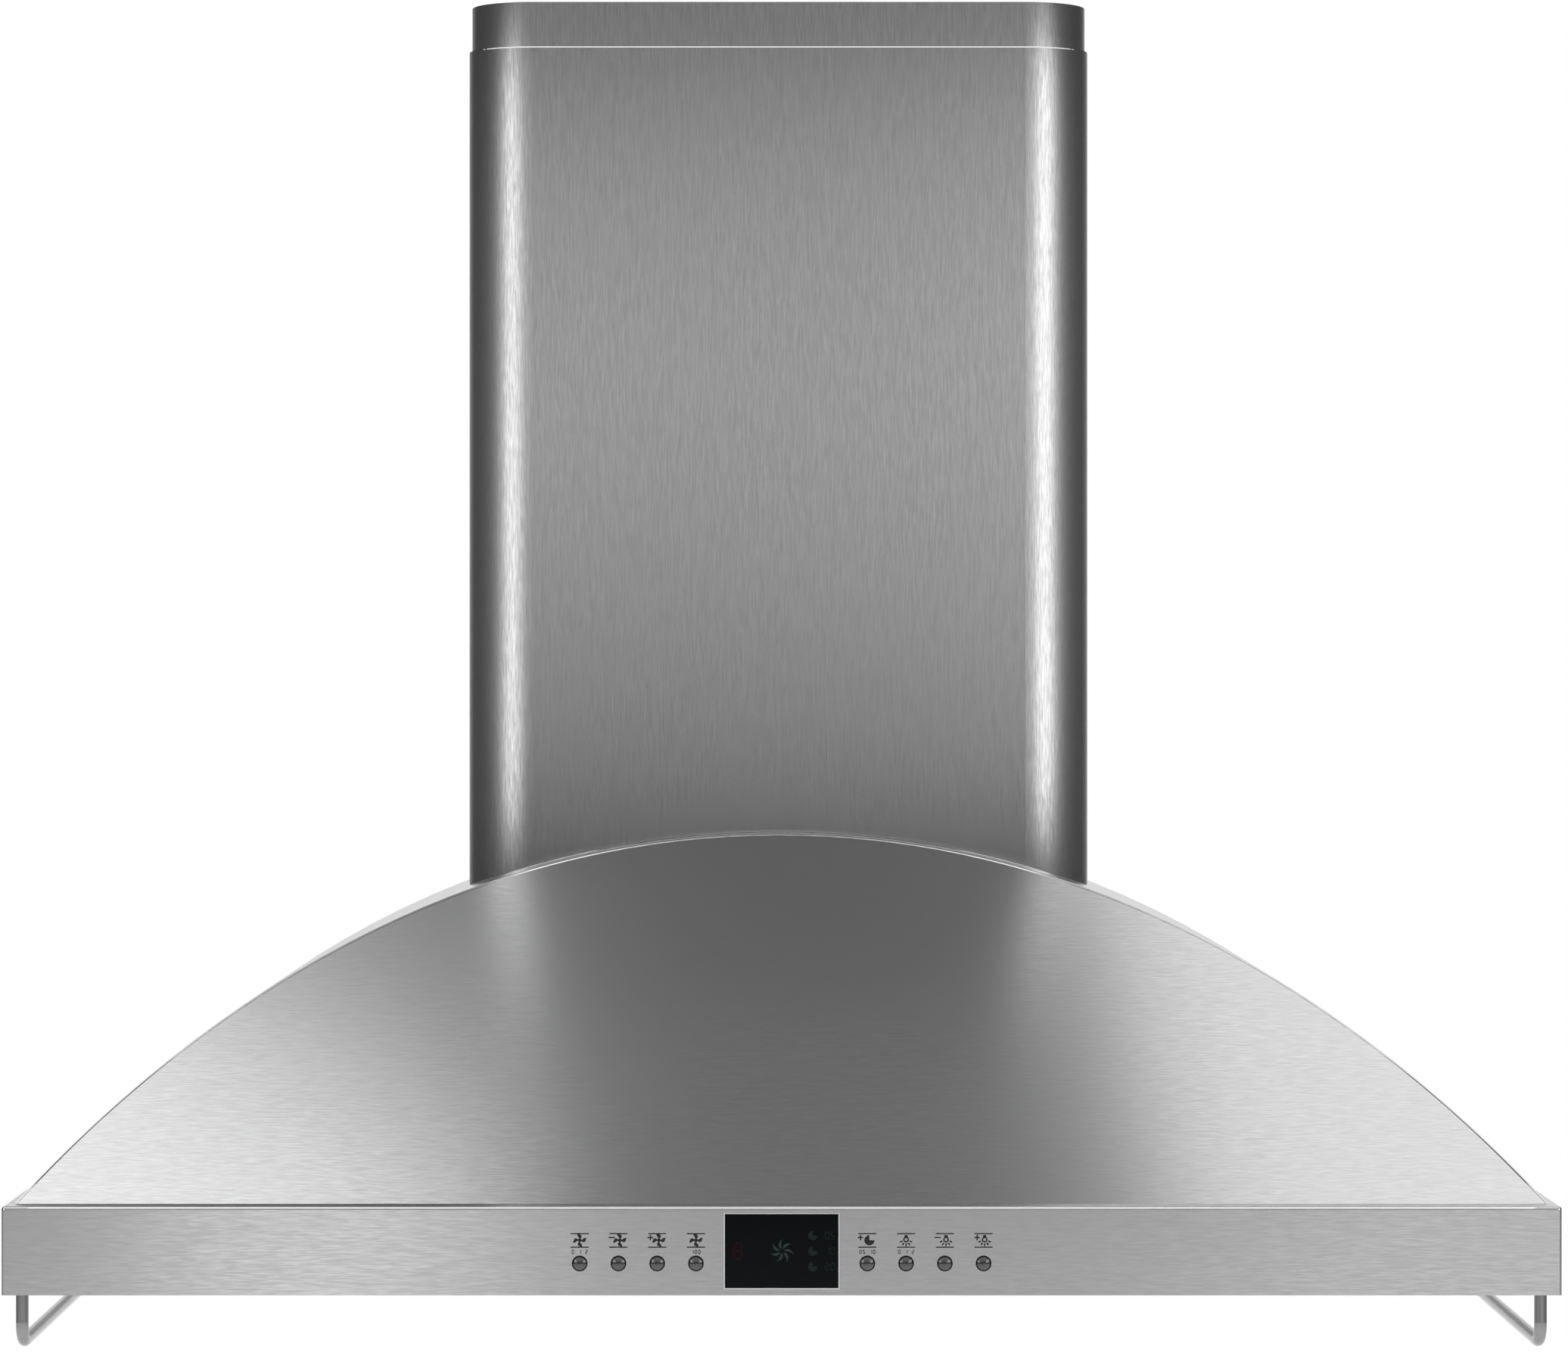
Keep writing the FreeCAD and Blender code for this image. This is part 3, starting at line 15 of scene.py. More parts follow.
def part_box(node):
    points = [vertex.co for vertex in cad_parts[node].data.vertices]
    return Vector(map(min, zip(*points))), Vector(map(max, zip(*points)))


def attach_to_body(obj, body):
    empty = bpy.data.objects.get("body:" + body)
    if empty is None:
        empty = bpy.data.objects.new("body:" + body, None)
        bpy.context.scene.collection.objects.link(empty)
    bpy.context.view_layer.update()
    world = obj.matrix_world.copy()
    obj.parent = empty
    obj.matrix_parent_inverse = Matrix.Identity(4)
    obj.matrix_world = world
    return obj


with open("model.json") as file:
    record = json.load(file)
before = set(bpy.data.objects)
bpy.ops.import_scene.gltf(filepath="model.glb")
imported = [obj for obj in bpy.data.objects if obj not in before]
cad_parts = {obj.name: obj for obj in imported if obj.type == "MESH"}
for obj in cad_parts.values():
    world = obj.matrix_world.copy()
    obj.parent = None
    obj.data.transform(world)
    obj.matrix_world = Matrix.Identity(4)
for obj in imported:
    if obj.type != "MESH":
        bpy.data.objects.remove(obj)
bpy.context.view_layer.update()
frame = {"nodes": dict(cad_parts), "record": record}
nodes = frame["nodes"]
MM = 0.001

# %% [markdown]
# ## Measuring the front band
# The printed marks lie on the front face of the band, so its place is read from the frame: the
# tray's box gives the face, and each button's box gives the centre of its own mark.

# %% Measure the band and the keys
tray_low, tray_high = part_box("base_tray")
band_face = tray_low.y
print(f"band face at y = {band_face / MM:.1f} mm, {(tray_high - tray_low).z / MM:.1f} mm tall")


def middle(node):
    """The centre of a CAD node's box."""
    low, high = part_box(node)
    return (low + high) / 2


key_x = {key: middle(key).x for key in
         ("fan_power_button", "fan_slower_button", "fan_faster_button", "boost_button",
          "timer_button", "lamp_power_button", "lamp_dimmer_button", "lamp_brighter_button")}
key_z = middle("boost_button").z
print("keys at x =", ", ".join(f"{x / MM:.1f}" for x in key_x.values()))

# %% [markdown]
# ## Flat marks as grids
# Screen-printed ink is a thin film with a crisp outline. Each stroke of a symbol is a patch: a
# function of two parameters, worked out with numpy on a whole grid at once. A patch is turned into
# a very thin closed slab, so that it is a real shape when the model is exported. A picture mapped
# onto the band would be quicker, but it blurs up close and has to be carried along as a file.

# %% Patches: bars, sectors and blades
def bar(x, z, width, height):
    """A rectangle about (x, z): x + u * width / 2 and z + v * height / 2, u and v from -1 to 1."""
    u, v = np.meshgrid([-1.0, 1.0], [-1.0, 1.0], indexing="ij")
    return np.stack([x + u * width / 2, z + v * height / 2], axis=-1)


def tilted_bar(x, z, start, end, width, angle):
    """A bar along a ray from (x, z): distance from start to end, half its width on each side."""
    u, v = np.meshgrid([start, end], [-width / 2, width / 2], indexing="ij")
    return np.stack([x + u * np.cos(angle) - v * np.sin(angle),
                     z + u * np.sin(angle) + v * np.cos(angle)], axis=-1)


def sector(x, z, inner, outer, start, end, steps=28):
    """A part of a ring: the radius runs from inner to outer and the angle from start to end."""
    radius, angle = np.meshgrid([inner, outer], np.linspace(start, end, steps), indexing="ij")
    return np.stack([x + radius * np.cos(angle), z + radius * np.sin(angle)], axis=-1)


def blade(x, z, root, tip, width, start, sweep, fullness, steps=14):
    """A curved leaf: the middle line leaves at radius root and turns by sweep on its way to the
    tip, and its half width is width * sin(pi * u ** fullness), so both ends are pointed."""
    u, v = np.meshgrid(np.linspace(0, 1, steps), np.linspace(-1, 1, 3), indexing="ij")
    radius, angle = root + u * (tip - root), start + sweep * u * u
    half = width * np.sin(np.pi * np.clip(u, 0.02, 0.98) ** fullness)
    return np.stack([x + radius * np.cos(angle) - v * half * np.sin(angle),
                     z + radius * np.sin(angle) + v * half * np.cos(angle)], axis=-1)


print("a blade patch has", blade(0, 0, 0.5, 3, 1, 0, 1, 0.8).shape[0] * 3, "points")

# %% Slabs: patches with a thickness
def slab_faces(rows, columns, first):
    """Indices of a closed slab's faces: a front sheet, a back sheet and a rim round the border."""
    front = first + np.arange(rows * columns).reshape(rows, columns)
    back = front + rows * columns

    def quads(a, b, c, d):
        return np.stack([a.ravel(), b.ravel(), c.ravel(), d.ravel()], axis=1)
    sheets = [quads(s[:-1, :-1], s[1:, :-1], s[1:, 1:], s[:-1, 1:]) for s in (front, back[::-1])]
    border = [(front[0], back[0]), (front[:, -1], back[:, -1]),
              (front[-1, ::-1], back[-1, ::-1]), (front[::-1, 0], back[::-1, 0])]
    rims = [quads(f[:-1], f[1:], b[1:], b[:-1]) for f, b in border]
    return np.concatenate(sheets + rims)


def weld(mesh, distance=2e-7):
    """Merge points that coincide and turn every face outwards."""
    shape = bmesh.new()
    shape.from_mesh(mesh)
    bmesh.ops.remove_doubles(shape, verts=shape.verts, dist=distance)
    bmesh.ops.dissolve_degenerate(shape, edges=shape.edges, dist=distance)
    bmesh.ops.recalc_face_normals(shape, faces=shape.faces)
    shape.to_mesh(mesh)
    shape.free()


def attach(name, mesh):
    """Make a piece of the mesh: it rides on the hood."""
    piece = bpy.data.objects.new(name, mesh)
    bpy.context.scene.collection.objects.link(piece)
    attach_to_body(piece, "hood")
    print(f"{name}: {len(mesh.polygons)} faces")
    return piece


def print_patches(name, patches, face, film):
    """One piece from many patches, in front of the plane y = face by the thickness of the film."""
    points, faces, first = [], [], 0
    for patch in patches:
        rows, columns = patch.shape[:2]
        for y in (face - film, face):
            points.append(np.stack([patch[..., 0], np.full(patch.shape[:2], y), patch[..., 1]],
                                   axis=-1).reshape(-1, 3))
        faces.append(slab_faces(rows, columns, first))
        first += 2 * rows * columns
    mesh = bpy.data.meshes.new(name)
    mesh.from_pydata(np.concatenate(points).tolist(), [], np.concatenate(faces).tolist())
    weld(mesh)
    return attach(name, mesh)


# %% [markdown]
# ## The symbols above the keys
# Each key has a small symbol between two ruled lines: a four-bladed fan, a clock with a quarter
# cut out, or a lamp with rays. A plus or a minus beside it tells faster from slower and brighter
# from dimmer. The symbols are generic ones, and below four of them stand plain numbers.

# %% Symbol shapes
RULE_LENGTH, RULE_WIDTH = 10.6 * MM, 0.7 * MM
RULE_HEIGHTS = 9.55 * MM, 17.45 * MM                # above the keys' centre line
FAN_TIP, FAN_BLADE, FAN_HUB = 4.1 * MM, 1.2 * MM, 1.1 * MM
BULB_HOLE, BULB_RIM = 0.85 * MM, 1.7 * MM           # inner and outer radius of the lamp's ring
RAY_START, RAY_END, RAY_WIDTH = 2.2 * MM, 3.9 * MM, 0.85 * MM


def rules(x):
    """The two ruled lines, above and below a symbol."""
    return [bar(x, key_z + height, RULE_LENGTH, RULE_WIDTH) for height in RULE_HEIGHTS]


def fan(x, z):
    """Four full blades, a quarter turn apart, that curl the same way round a small hub."""
    starts = np.radians(-8 + 90 * np.arange(4))
    hub = sector(x, z, 0, FAN_HUB, 0, 2 * np.pi)
    return [hub] + [blade(x, z, 0.5 * MM, FAN_TIP, FAN_BLADE, start, sweep=0.5, fullness=1.3)
                    for start in starts]


def lamp(x, z):
    """A cap, a round bulb drawn as a ring, and five rays below it."""
    bulb_z = z + 0.4 * MM
    cap = bar(x, z + 2.4 * MM, width=1.9 * MM, height=1.3 * MM)
    ring = sector(x, bulb_z, BULB_HOLE, BULB_RIM, 0, 2 * np.pi)
    rays = [tilted_bar(x, bulb_z, RAY_START, RAY_END, RAY_WIDTH, np.radians(angle))
            for angle in (-158, -124, -90, -56, -22)]
    return [cap, ring] + rays


def clock(x, z, radius=3.0 * MM):
    """Three quarters of a disc, open between twelve and three o'clock."""
    return [sector(x, z, 0, radius, np.pi / 2, 2 * np.pi)]


def plus(x, z, arm=1.6 * MM, width=0.8 * MM):
    """A bar that reaches arm to each side, and a short one standing above it and below it."""
    upright = [bar(x, z + side * (arm + width / 2) / 2, width, arm - width / 2)
               for side in (-1, 1)]
    return [bar(x, z, 2 * arm, width)] + upright


def minus(x, z):
    """One bar that lies across."""
    return [bar(x, z, width=3.6 * MM, height=0.75 * MM)]


# %% [markdown]
# ## Plain numbers
# A numeral needs no font: seven straight strokes, as on a pocket calculator, make any of them. Each
# numeral is a list of strokes, and each stroke is one of the bars from above.

# %% Numbers from seven strokes
STROKES = {"0": "abcdef", "1": "bc", "2": "abged", "5": "afgcd", "8": "abcdefg"}


def digit(character, x, z, height, line):
    """A numeral of up to seven bars: three lie across it and two stand on each side."""
    half, wide = height / 2, height * 0.52
    places = {"a": (0, half, wide, line), "g": (0, 0, wide, line), "d": (0, -half, wide, line),
              "b": (wide / 2, half / 2, line, half), "c": (wide / 2, -half / 2, line, half),
              "f": (-wide / 2, half / 2, line, half), "e": (-wide / 2, -half / 2, line, half)}
    strokes = [places[stroke] for stroke in STROKES[character]]
    return [bar(x + dx, z + dz, max(width - line, line), max(tall - line, line))
            for dx, dz, width, tall in strokes]


def numbers(text, x, z, height, line, pitch):
    """A row of numerals about x, one pitch apart, with a blank for a space."""
    start = x - pitch * (len(text) - 1) / 2
    return [stroke for index, character in enumerate(text) if character != " "
            for stroke in digit(character, start + index * pitch, z, height, line)]


# %% Print the symbols on the band
INK_FILM = 0.05 * MM
SYMBOL_Z = key_z + 13.6 * MM
SIGN_Z = SYMBOL_Z + 1.6 * MM                        # the plus and the minus sit a little higher
marks = {                                           # key, symbol and its offset, sign and offset
    "mark_fan_power": ("fan_power_button", fan, 0.0, None, 0.0),
    "mark_fan_slower": ("fan_slower_button", fan, 0.8, minus, -3.9),
    "mark_fan_faster": ("fan_faster_button", fan, 1.0, plus, -4.0),
    "mark_boost": ("boost_button", fan, 0.0, None, 0.0),
    "mark_timer": ("timer_button", clock, 1.2, plus, -4.0),
    "mark_lamp_power": ("lamp_power_button", lamp, 0.0, None, 0.0),
    "mark_lamp_dimmer": ("lamp_dimmer_button", lamp, 0.7, minus, -4.2),
    "mark_lamp_brighter": ("lamp_brighter_button", lamp, 0.6, plus, -3.8),
}
captions = {"mark_fan_power": "0 1 2", "mark_boost": "100", "mark_timer": "05 10",
            "mark_lamp_power": "0 1 2"}
CAPTION_Z = key_z + 6.8 * MM
CAPTION_TALL, CAPTION_LINE, CAPTION_PITCH = 2.1 * MM, 0.6 * MM, 2.0 * MM
ink_pieces = []
for name, (key, symbol, symbol_shift, sign, sign_shift) in marks.items():
    x = key_x[key]
    strokes = rules(x) + symbol(x + symbol_shift * MM, SYMBOL_Z)
    if sign:
        strokes += sign(x + sign_shift * MM, SIGN_Z)
    if name in captions:
        strokes += numbers(captions[name], x, CAPTION_Z, CAPTION_TALL, CAPTION_LINE,
                           CAPTION_PITCH)
    ink_pieces.append(print_patches(name, strokes, band_face, INK_FILM))

# %% [markdown]
# ## What the display shows
# The window is smoked glass, and with the hood off its signs are only just visible: a seven-bladed
# fan in the middle, a dull red numeral on the left and three clocks with minutes on the right.
# They are films too, a shade lighter than the glass.

# %% Signs in the window
glass_low, glass_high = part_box("display_window")
glass_face, glass_mid = glass_low.y, (glass_low + glass_high) / 2
SIGN_FILM = 0.03 * MM
FAN_SIGN_X, CLOCK_X, MINUTES_X, LEVEL_X = 0.2 * MM, 18.3 * MM, 28.2 * MM, -25.5 * MM
CLOCK_PITCH = 9.1 * MM
sign_starts = np.radians(12 + 360 / 7 * np.arange(7))
clock_heights = [glass_mid.z + row * CLOCK_PITCH for row in (1, 0, -1)]
sign_patches = {
    "display_fan_sign": [
        blade(glass_mid.x + FAN_SIGN_X, glass_mid.z, root=1.2 * MM, tip=7.0 * MM, width=0.85 * MM,
              start=start, sweep=-0.5, fullness=0.9) for start in sign_starts],
    "display_clock_signs": [
        patch for z in clock_heights
        for patch in clock(glass_mid.x + CLOCK_X, z, radius=2.8 * MM)],
    "display_minute_signs": [
        patch for text, z in zip(("05", "10", "20"), clock_heights)
        for patch in numbers(text, glass_mid.x + MINUTES_X, z, height=4.0 * MM, line=0.5 * MM,
                             pitch=3.2 * MM)],
    "display_level_sign": digit("8", glass_mid.x + LEVEL_X, glass_mid.z, height=9.0 * MM,
                                line=1.1 * MM),
}
sign_fan, sign_clocks, sign_minutes, sign_level = [
    print_patches(name, patches, glass_face, SIGN_FILM)
    for name, patches in sign_patches.items()]

# %% [markdown]
# ## Bare edges
# Where the sheets end, their edges are ground smooth and catch the light as thin lines: along the
# top of the lower chimney, over the arch in front of it, and along the top of the band. The lines
# are partly painted highlight: the band's bead shines by its own reflection and by a steel painted
# lighter than the sheet's, and the beads on the chimney and the arch are a pale, dull colour, a
# painted highlight. A darker line runs down each side of the arch, where the leaning panel meets
# the
# skin: a painted shadow of the gap between them. A bevel on the sheet would be the usual way, but
# the CAD solids stay as they are. So each line is a bead of its own: a circle swept along a path,
# whose radius shrinks to nothing at both ends, so that it is closed.

# %% Beads along the edges
def bead(name, path, radius, binormal, turns=12, taper=0.02):
    """A circle swept along a path: P(u, v) = C(u) + r(u) (cos v N(u) + sin v B), where B is the
    constant binormal, N = T x B, and r(u) = radius * sqrt(1 - (1 - min(u, 1 - u) / taper) ** 2)
    near the ends."""
    path, binormal = np.asarray(path, float), np.asarray(binormal, float)
    along = np.gradient(path, axis=0)
    along /= np.linalg.norm(along, axis=1, keepdims=True)
    side = np.cross(along, binormal)
    u = np.linspace(0, 1, len(path))
    near = np.clip(1 - np.minimum(u, 1 - u) / taper, 0, 1)
    reach = (radius * np.sqrt(1 - near ** 2))[:, None, None]
    v = np.linspace(0, 2 * np.pi, turns, endpoint=False)
    ring = np.cos(v)[:, None] * side[:, None, :] + np.sin(v)[:, None] * binormal
    points = (path[:, None, :] + reach * ring).reshape(-1, 3)
    index = np.arange(len(path) * turns).reshape(len(path), turns)
    turned = np.roll(index, -1, axis=1)
    quads = np.stack([index[:-1], turned[:-1], turned[1:], index[1:]], axis=-1).reshape(-1, 4)
    mesh = bpy.data.meshes.new(name)
    mesh.from_pydata(points.tolist(), [], quads.tolist())
    weld(mesh, distance=1e-6)
    for face in mesh.polygons:
        face.use_smooth = True
    return attach(name, mesh)


# %% The band's top edge
UPWARD = (0, 0, 1)
BAND_BEAD, BAND_INSET = 0.9 * MM, 1.05 * MM         # radius, and how far its centre lies inside
BAND_END = 3 * MM                                   # the bead stops this far from the corners
ends = np.linspace(tray_low.x + BAND_END, tray_high.x - BAND_END, 60)
band_edge = bead("band_top_edge",
                 [(x, band_face + BAND_INSET, tray_high.z - BAND_INSET) for x in ends],
                 BAND_BEAD, UPWARD)

# %% The lower chimney's top edge
cover_low, cover_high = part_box("lower_chimney")
CORNER = 43.0 * MM                                  # outer radius of the chimney's front corners
EDGE_BEAD = 0.55 * MM
EDGE_OUT = 0.15 * MM                                # how far the bead stands out of the sheet
reach_x = cover_high.x + EDGE_OUT - EDGE_BEAD
reach_y = cover_low.y - EDGE_OUT + EDGE_BEAD
bend = CORNER + EDGE_OUT - EDGE_BEAD
angles = np.radians(np.linspace(25, 90, 16))
left_corner = [(-reach_x + bend * (1 - np.cos(angle)), reach_y + bend * (1 - np.sin(angle)))
               for angle in angles]
front_line = [(x, reach_y) for x in np.linspace(-reach_x + bend, reach_x - bend, 80)[1:-1]]
outline = left_corner + front_line + [(-x, y) for x, y in left_corner[::-1]]
cover_edge = bead("chimney_top_edge", [(x, y, cover_high.z - EDGE_BEAD) for x, y in outline],
                  EDGE_BEAD, UPWARD, taper=0.12)

# %% [markdown]
# The arch is part of a circle, but it lies on a panel that leans back. Seen from straight ahead it
# is a circle again, so its heights come from the circle's formula, and its depth from the lean.

# %% The arch as a line on the leaning panel
panel_low, panel_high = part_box("front_panel")
skin_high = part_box("arch_skin")[1]
half, rise = skin_high.x, skin_high.z - tray_high.z
arch_radius = (half ** 2 + rise ** 2) / (2 * rise)
lean = (panel_high.y - panel_low.y) / (panel_high.z - tray_high.z)      # run over rise
across_plane = np.array([0.0, -1.0, lean]) / np.hypot(1.0, lean)


def arch_line(x, inset, ahead):
    """Points on the leaning plane, below the arch by the inset: z = sqrt((R - inset)^2 - x^2) - R
    + the crown's height, y = foot + lean * (z - ledge) - ahead."""
    z = np.sqrt((arch_radius - inset) ** 2 - x ** 2) - arch_radius + skin_high.z
    return np.stack([x, panel_low.y + lean * (z - tray_high.z) - ahead, z], axis=-1)


print(f"arch radius {arch_radius / MM:.0f} mm, lean {lean:.2f}")

# %% The arch's edge and its seams
EDGE_HALF = 0.188                                   # the bright edge ends before the chimney's side
SEAM_START, SEAM_END = 0.20, 0.4435                 # distance of a seam's ends from the middle
ARCH_POINTS = 90
ARCH_BEAD, SEAM_BEAD = 0.85 * MM, 0.38 * MM
edge_path = arch_line(np.linspace(-EDGE_HALF, EDGE_HALF, ARCH_POINTS), inset=1.4 * MM,
                      ahead=0.3 * MM)
arch_edge = bead("arch_front_edge", edge_path, ARCH_BEAD, across_plane,
                 taper=0.10)
seam_spans = {"arch_seam_left": (-SEAM_END, -SEAM_START), "arch_seam_right": (SEAM_START, SEAM_END)}
seams = [bead(name, arch_line(np.linspace(*span, ARCH_POINTS), inset=1.1 * MM, ahead=0.0),
              SEAM_BEAD, across_plane) for name, span in seam_spans.items()]

# %% [markdown]
# ## Brushed steel
# A sanding belt leaves long fine scratches in one direction. Up close they are streaks of slightly
# different tone; from afar they spread each reflection across the grain and leave it sharp along
# it. So the finish has three parts: a noise stretched along the grain, which varies colour and
# roughness and lifts a faint bump; a broad, weak cloudiness from handling and rolling; and an
# anisotropic shader whose wide direction lies across the grain. That direction is the cross product
# of the surface's normal and the grain, so it is right on flat and rolled sheet alike.

# %% Node helpers
def node_adder(tree):
    """A function that adds a node to the tree, sets its options, and sets or links its inputs."""
    def add(kind, inputs=None, **settings):
        node = tree.nodes.new(kind)
        for key, value in settings.items():
            setattr(node, key, value)
        for key, value in (inputs or {}).items():
            if isinstance(value, bpy.types.NodeSocket):
                tree.links.new(value, node.inputs[key])
            else:
                node.inputs[key].default_value = value
        return node
    return add


def start_material(name):
    """A material with one Principled shader, and the function that adds its nodes."""
    material = bpy.data.materials.new(name)
    material.use_nodes = True
    tree = material.node_tree
    return material, tree, tree.nodes["Principled BSDF"], node_adder(tree)


def set_shader(tree, shader, **inputs):
    """Set sockets of the shader by name: a number or colour is set on it, a socket is linked."""
    for key, value in inputs.items():
        socket = shader.inputs[key.replace("_", " ")]
        if isinstance(value, bpy.types.NodeSocket):
            tree.links.new(value, socket)
        else:
            socket.default_value = value


def shade(colour, share):
    """The same colour, lighter or darker by a share."""
    return (*(min(1.0, part * share) for part in colour), 1.0)


def two_tone(add, factor, colour, low, high):
    """A colour that runs from low to high times its own value as the factor goes from 0 to 1."""
    ends = {"Factor": factor, "A": shade(colour, low), "B": shade(colour, high)}
    return add("ShaderNodeMix", ends, data_type="RGBA").outputs["Result"]


def gloss_range(add, factor, start, end):
    """A roughness that goes from start to end with the factor."""
    return add("ShaderNodeMapRange",
               {"Value": factor, "To Min": start, "To Max": end}).outputs["Result"]


# %% A brushed finish
OFF_AXIS = 0.02                                     # keeps the cross product from vanishing
GRAIN = {"x": (1.0, OFF_AXIS, 0.0), "y": (OFF_AXIS, 1.0, 0.0), "z": (0.0, OFF_AXIS, 1.0)}
ALONG, ACROSS = 90.0, 1200.0                        # the streaks' noise scales, per metre
RELIEF = 0.00005                                    # depth of every bump, in metres
CLOUD_SCALE, CLOUDINESS = 5.0, 0.25                 # the cloud's scale, and its share in the tone
STREAK_LOW, STREAK_HIGH = 0.3, 0.7                  # the noise's values that become 0 and 1


def brushed(name, colour, grain, roughness, spread=0.75, streak=0.13, folds=""):
    """Brushed sheet. Streaks come from a noise whose scale is small along the grain and large
    across it; they shift the tone by the share streak and the roughness by a few hundredths. Where
    the sheet is folded and the grain turns to a second axis, folds names it."""
    material, tree, shader, add = start_material(name)
    place = add("ShaderNodeTexCoord").outputs["Object"]
    scale = [ALONG if axis in grain + folds else ACROSS for axis in "xyz"]
    stretched = add("ShaderNodeMapping", {"Vector": place, "Scale": scale}).outputs["Vector"]
    fine = add("ShaderNodeTexNoise", {"Vector": stretched, "Scale": 1.0, "Detail": 2.0,
                                      "Roughness": 0.55}).outputs["Fac"]
    cloud = add("ShaderNodeTexNoise", {"Vector": place, "Scale": CLOUD_SCALE,
                                       "Detail": 2.0}).outputs["Fac"]
    lines = add("ShaderNodeMapRange", {"Value": fine, "From Min": STREAK_LOW,
                                       "From Max": STREAK_HIGH})
    share = add("ShaderNodeMath", {0: cloud, 1: CLOUDINESS}, operation="MULTIPLY").outputs[0]
    both = add("ShaderNodeMath", {0: lines.outputs["Result"], 1: 1 - CLOUDINESS, 2: share},
               operation="MULTIPLY_ADD").outputs[0]
    tone = two_tone(add, both, colour, 1 - streak, 1 + streak)
    gloss = gloss_range(add, both, roughness + 0.02, roughness - 0.02)
    relief = add("ShaderNodeBump", {"Height": fine, "Strength": 0.04, "Distance": RELIEF})
    normal = add("ShaderNodeNewGeometry").outputs["Normal"]
    across = add("ShaderNodeVectorMath", {0: normal, 1: GRAIN[grain]}, operation="CROSS_PRODUCT")
    set_shader(tree, shader, Base_Color=tone, Roughness=gloss, Metallic=1.0, Anisotropic=spread,
               Tangent=across.outputs["Vector"], Normal=relief.outputs["Normal"])
    return material


# %% Steel finishes
STEEL = (0.50, 0.50, 0.502)
LINER_STEEL, FILTER_STEEL = shade(STEEL, 0.72)[:3], shade(STEEL, 0.8)[:3]
ROD_STEEL, WHEEL_STEEL = (0.26, 0.26, 0.262), (0.45, 0.455, 0.46)
finishes = {
    "tray_steel": brushed("band_steel", STEEL, "x", 0.16, spread=0.92, streak=0.10, folds="y"),
    "canopy_steel": brushed("canopy_sheet", STEEL, "x", 0.21, spread=0.5, streak=0.10),
    "chimney_steel": brushed("chimney_sheet", STEEL, "z", 0.235, spread=1.0, streak=0.20),
    "liner_steel": brushed("liner_sheet", LINER_STEEL, "x", 0.36),
    "filter_steel": brushed("filter_sheet", FILTER_STEEL, "y", 0.30, streak=0.06),
    "rail_steel": brushed("rail_rod", ROD_STEEL, "y", 0.24, spread=0.3, streak=0.05),
    "impeller_metal": brushed("wheel_sheet", WHEEL_STEEL, "x", 0.42, spread=0.2, streak=0.06),
}
print("steel finishes:", ", ".join(sorted(finishes)))

# %% [markdown]
# ## Zinc, plastic, glass and board
# Galvanised sheet has a crystal pattern called spangle, which a Voronoi texture gives. Moulded
# plastic has a fine even grain, enamel a soft orange peel, and glass almost nothing but a slight
# waviness. Each is a short function, because each has its own kind of detail.

# %% Other kinds of finish
SPANGLE_SCALE = 160.0                               # cells per metre: each is about 6 mm across
POLISH_SCALE = 120.0


def spangled(name, colour, roughness):
    """Galvanised sheet: cells of slightly different grey, a few millimetres across."""
    material, tree, shader, add = start_material(name)
    place = add("ShaderNodeTexCoord").outputs["Object"]
    cells = add("ShaderNodeTexVoronoi", {"Vector": place, "Scale": SPANGLE_SCALE})
    cell_tone = add("ShaderNodeSeparateColor", {"Color": cells.outputs["Color"]}).outputs["Red"]
    gloss = gloss_range(add, cell_tone, roughness - 0.06, roughness + 0.08)
    set_shader(tree, shader, Base_Color=two_tone(add, cell_tone, colour, 0.88, 1.1),
               Roughness=gloss, Metallic=1.0)
    return material


def moulded(name, colour, roughness, grain=900.0, bump=0.06, metallic=0.0, coat=0.0, shine=0.5):
    """Plastic or enamel: one colour with a faint mottling, and a pebbled bump of the given
    scale."""
    material, tree, shader, add = start_material(name)
    place = add("ShaderNodeTexCoord").outputs["Object"]
    noise = add("ShaderNodeTexNoise",
                {"Vector": place, "Scale": grain, "Detail": 2.0}).outputs["Fac"]
    gloss = gloss_range(add, noise, roughness - 0.05, roughness + 0.05)
    relief = add("ShaderNodeBump", {"Height": noise, "Strength": bump, "Distance": RELIEF})
    set_shader(tree, shader, Base_Color=two_tone(add, noise, colour, 0.9, 1.1), Roughness=gloss,
               Metallic=metallic, Coat_Weight=coat, Specular_IOR_Level=shine,
               Normal=relief.outputs["Normal"])
    return material


def bright_metal(name, colour, roughness, bump=0.06):
    """Plated, spun or drawn metal: the moulded finish's mottling on a metal."""
    return moulded(name, colour, roughness, metallic=1.0, bump=bump)


def thin_layer(name, colour, roughness=0.5, bump=0.02, shine=0.2):
    """Printed ink, or any other dull film."""
    return moulded(name, colour, roughness, bump=bump, shine=shine)


def clear_glass(name, roughness, tint):
    """Lens or bulb glass: it lets light through, with a slight unevenness in its polish."""
    material, tree, shader, add = start_material(name)
    place = add("ShaderNodeTexCoord").outputs["Object"]
    noise = add("ShaderNodeTexNoise", {"Vector": place, "Scale": POLISH_SCALE}).outputs["Fac"]
    gloss = gloss_range(add, noise, roughness, roughness + 0.08)
    set_shader(tree, shader, Base_Color=two_tone(add, noise, tint, 0.98, 1.02), Roughness=gloss,
               Transmission_Weight=0.9, IOR=1.48)
    return material


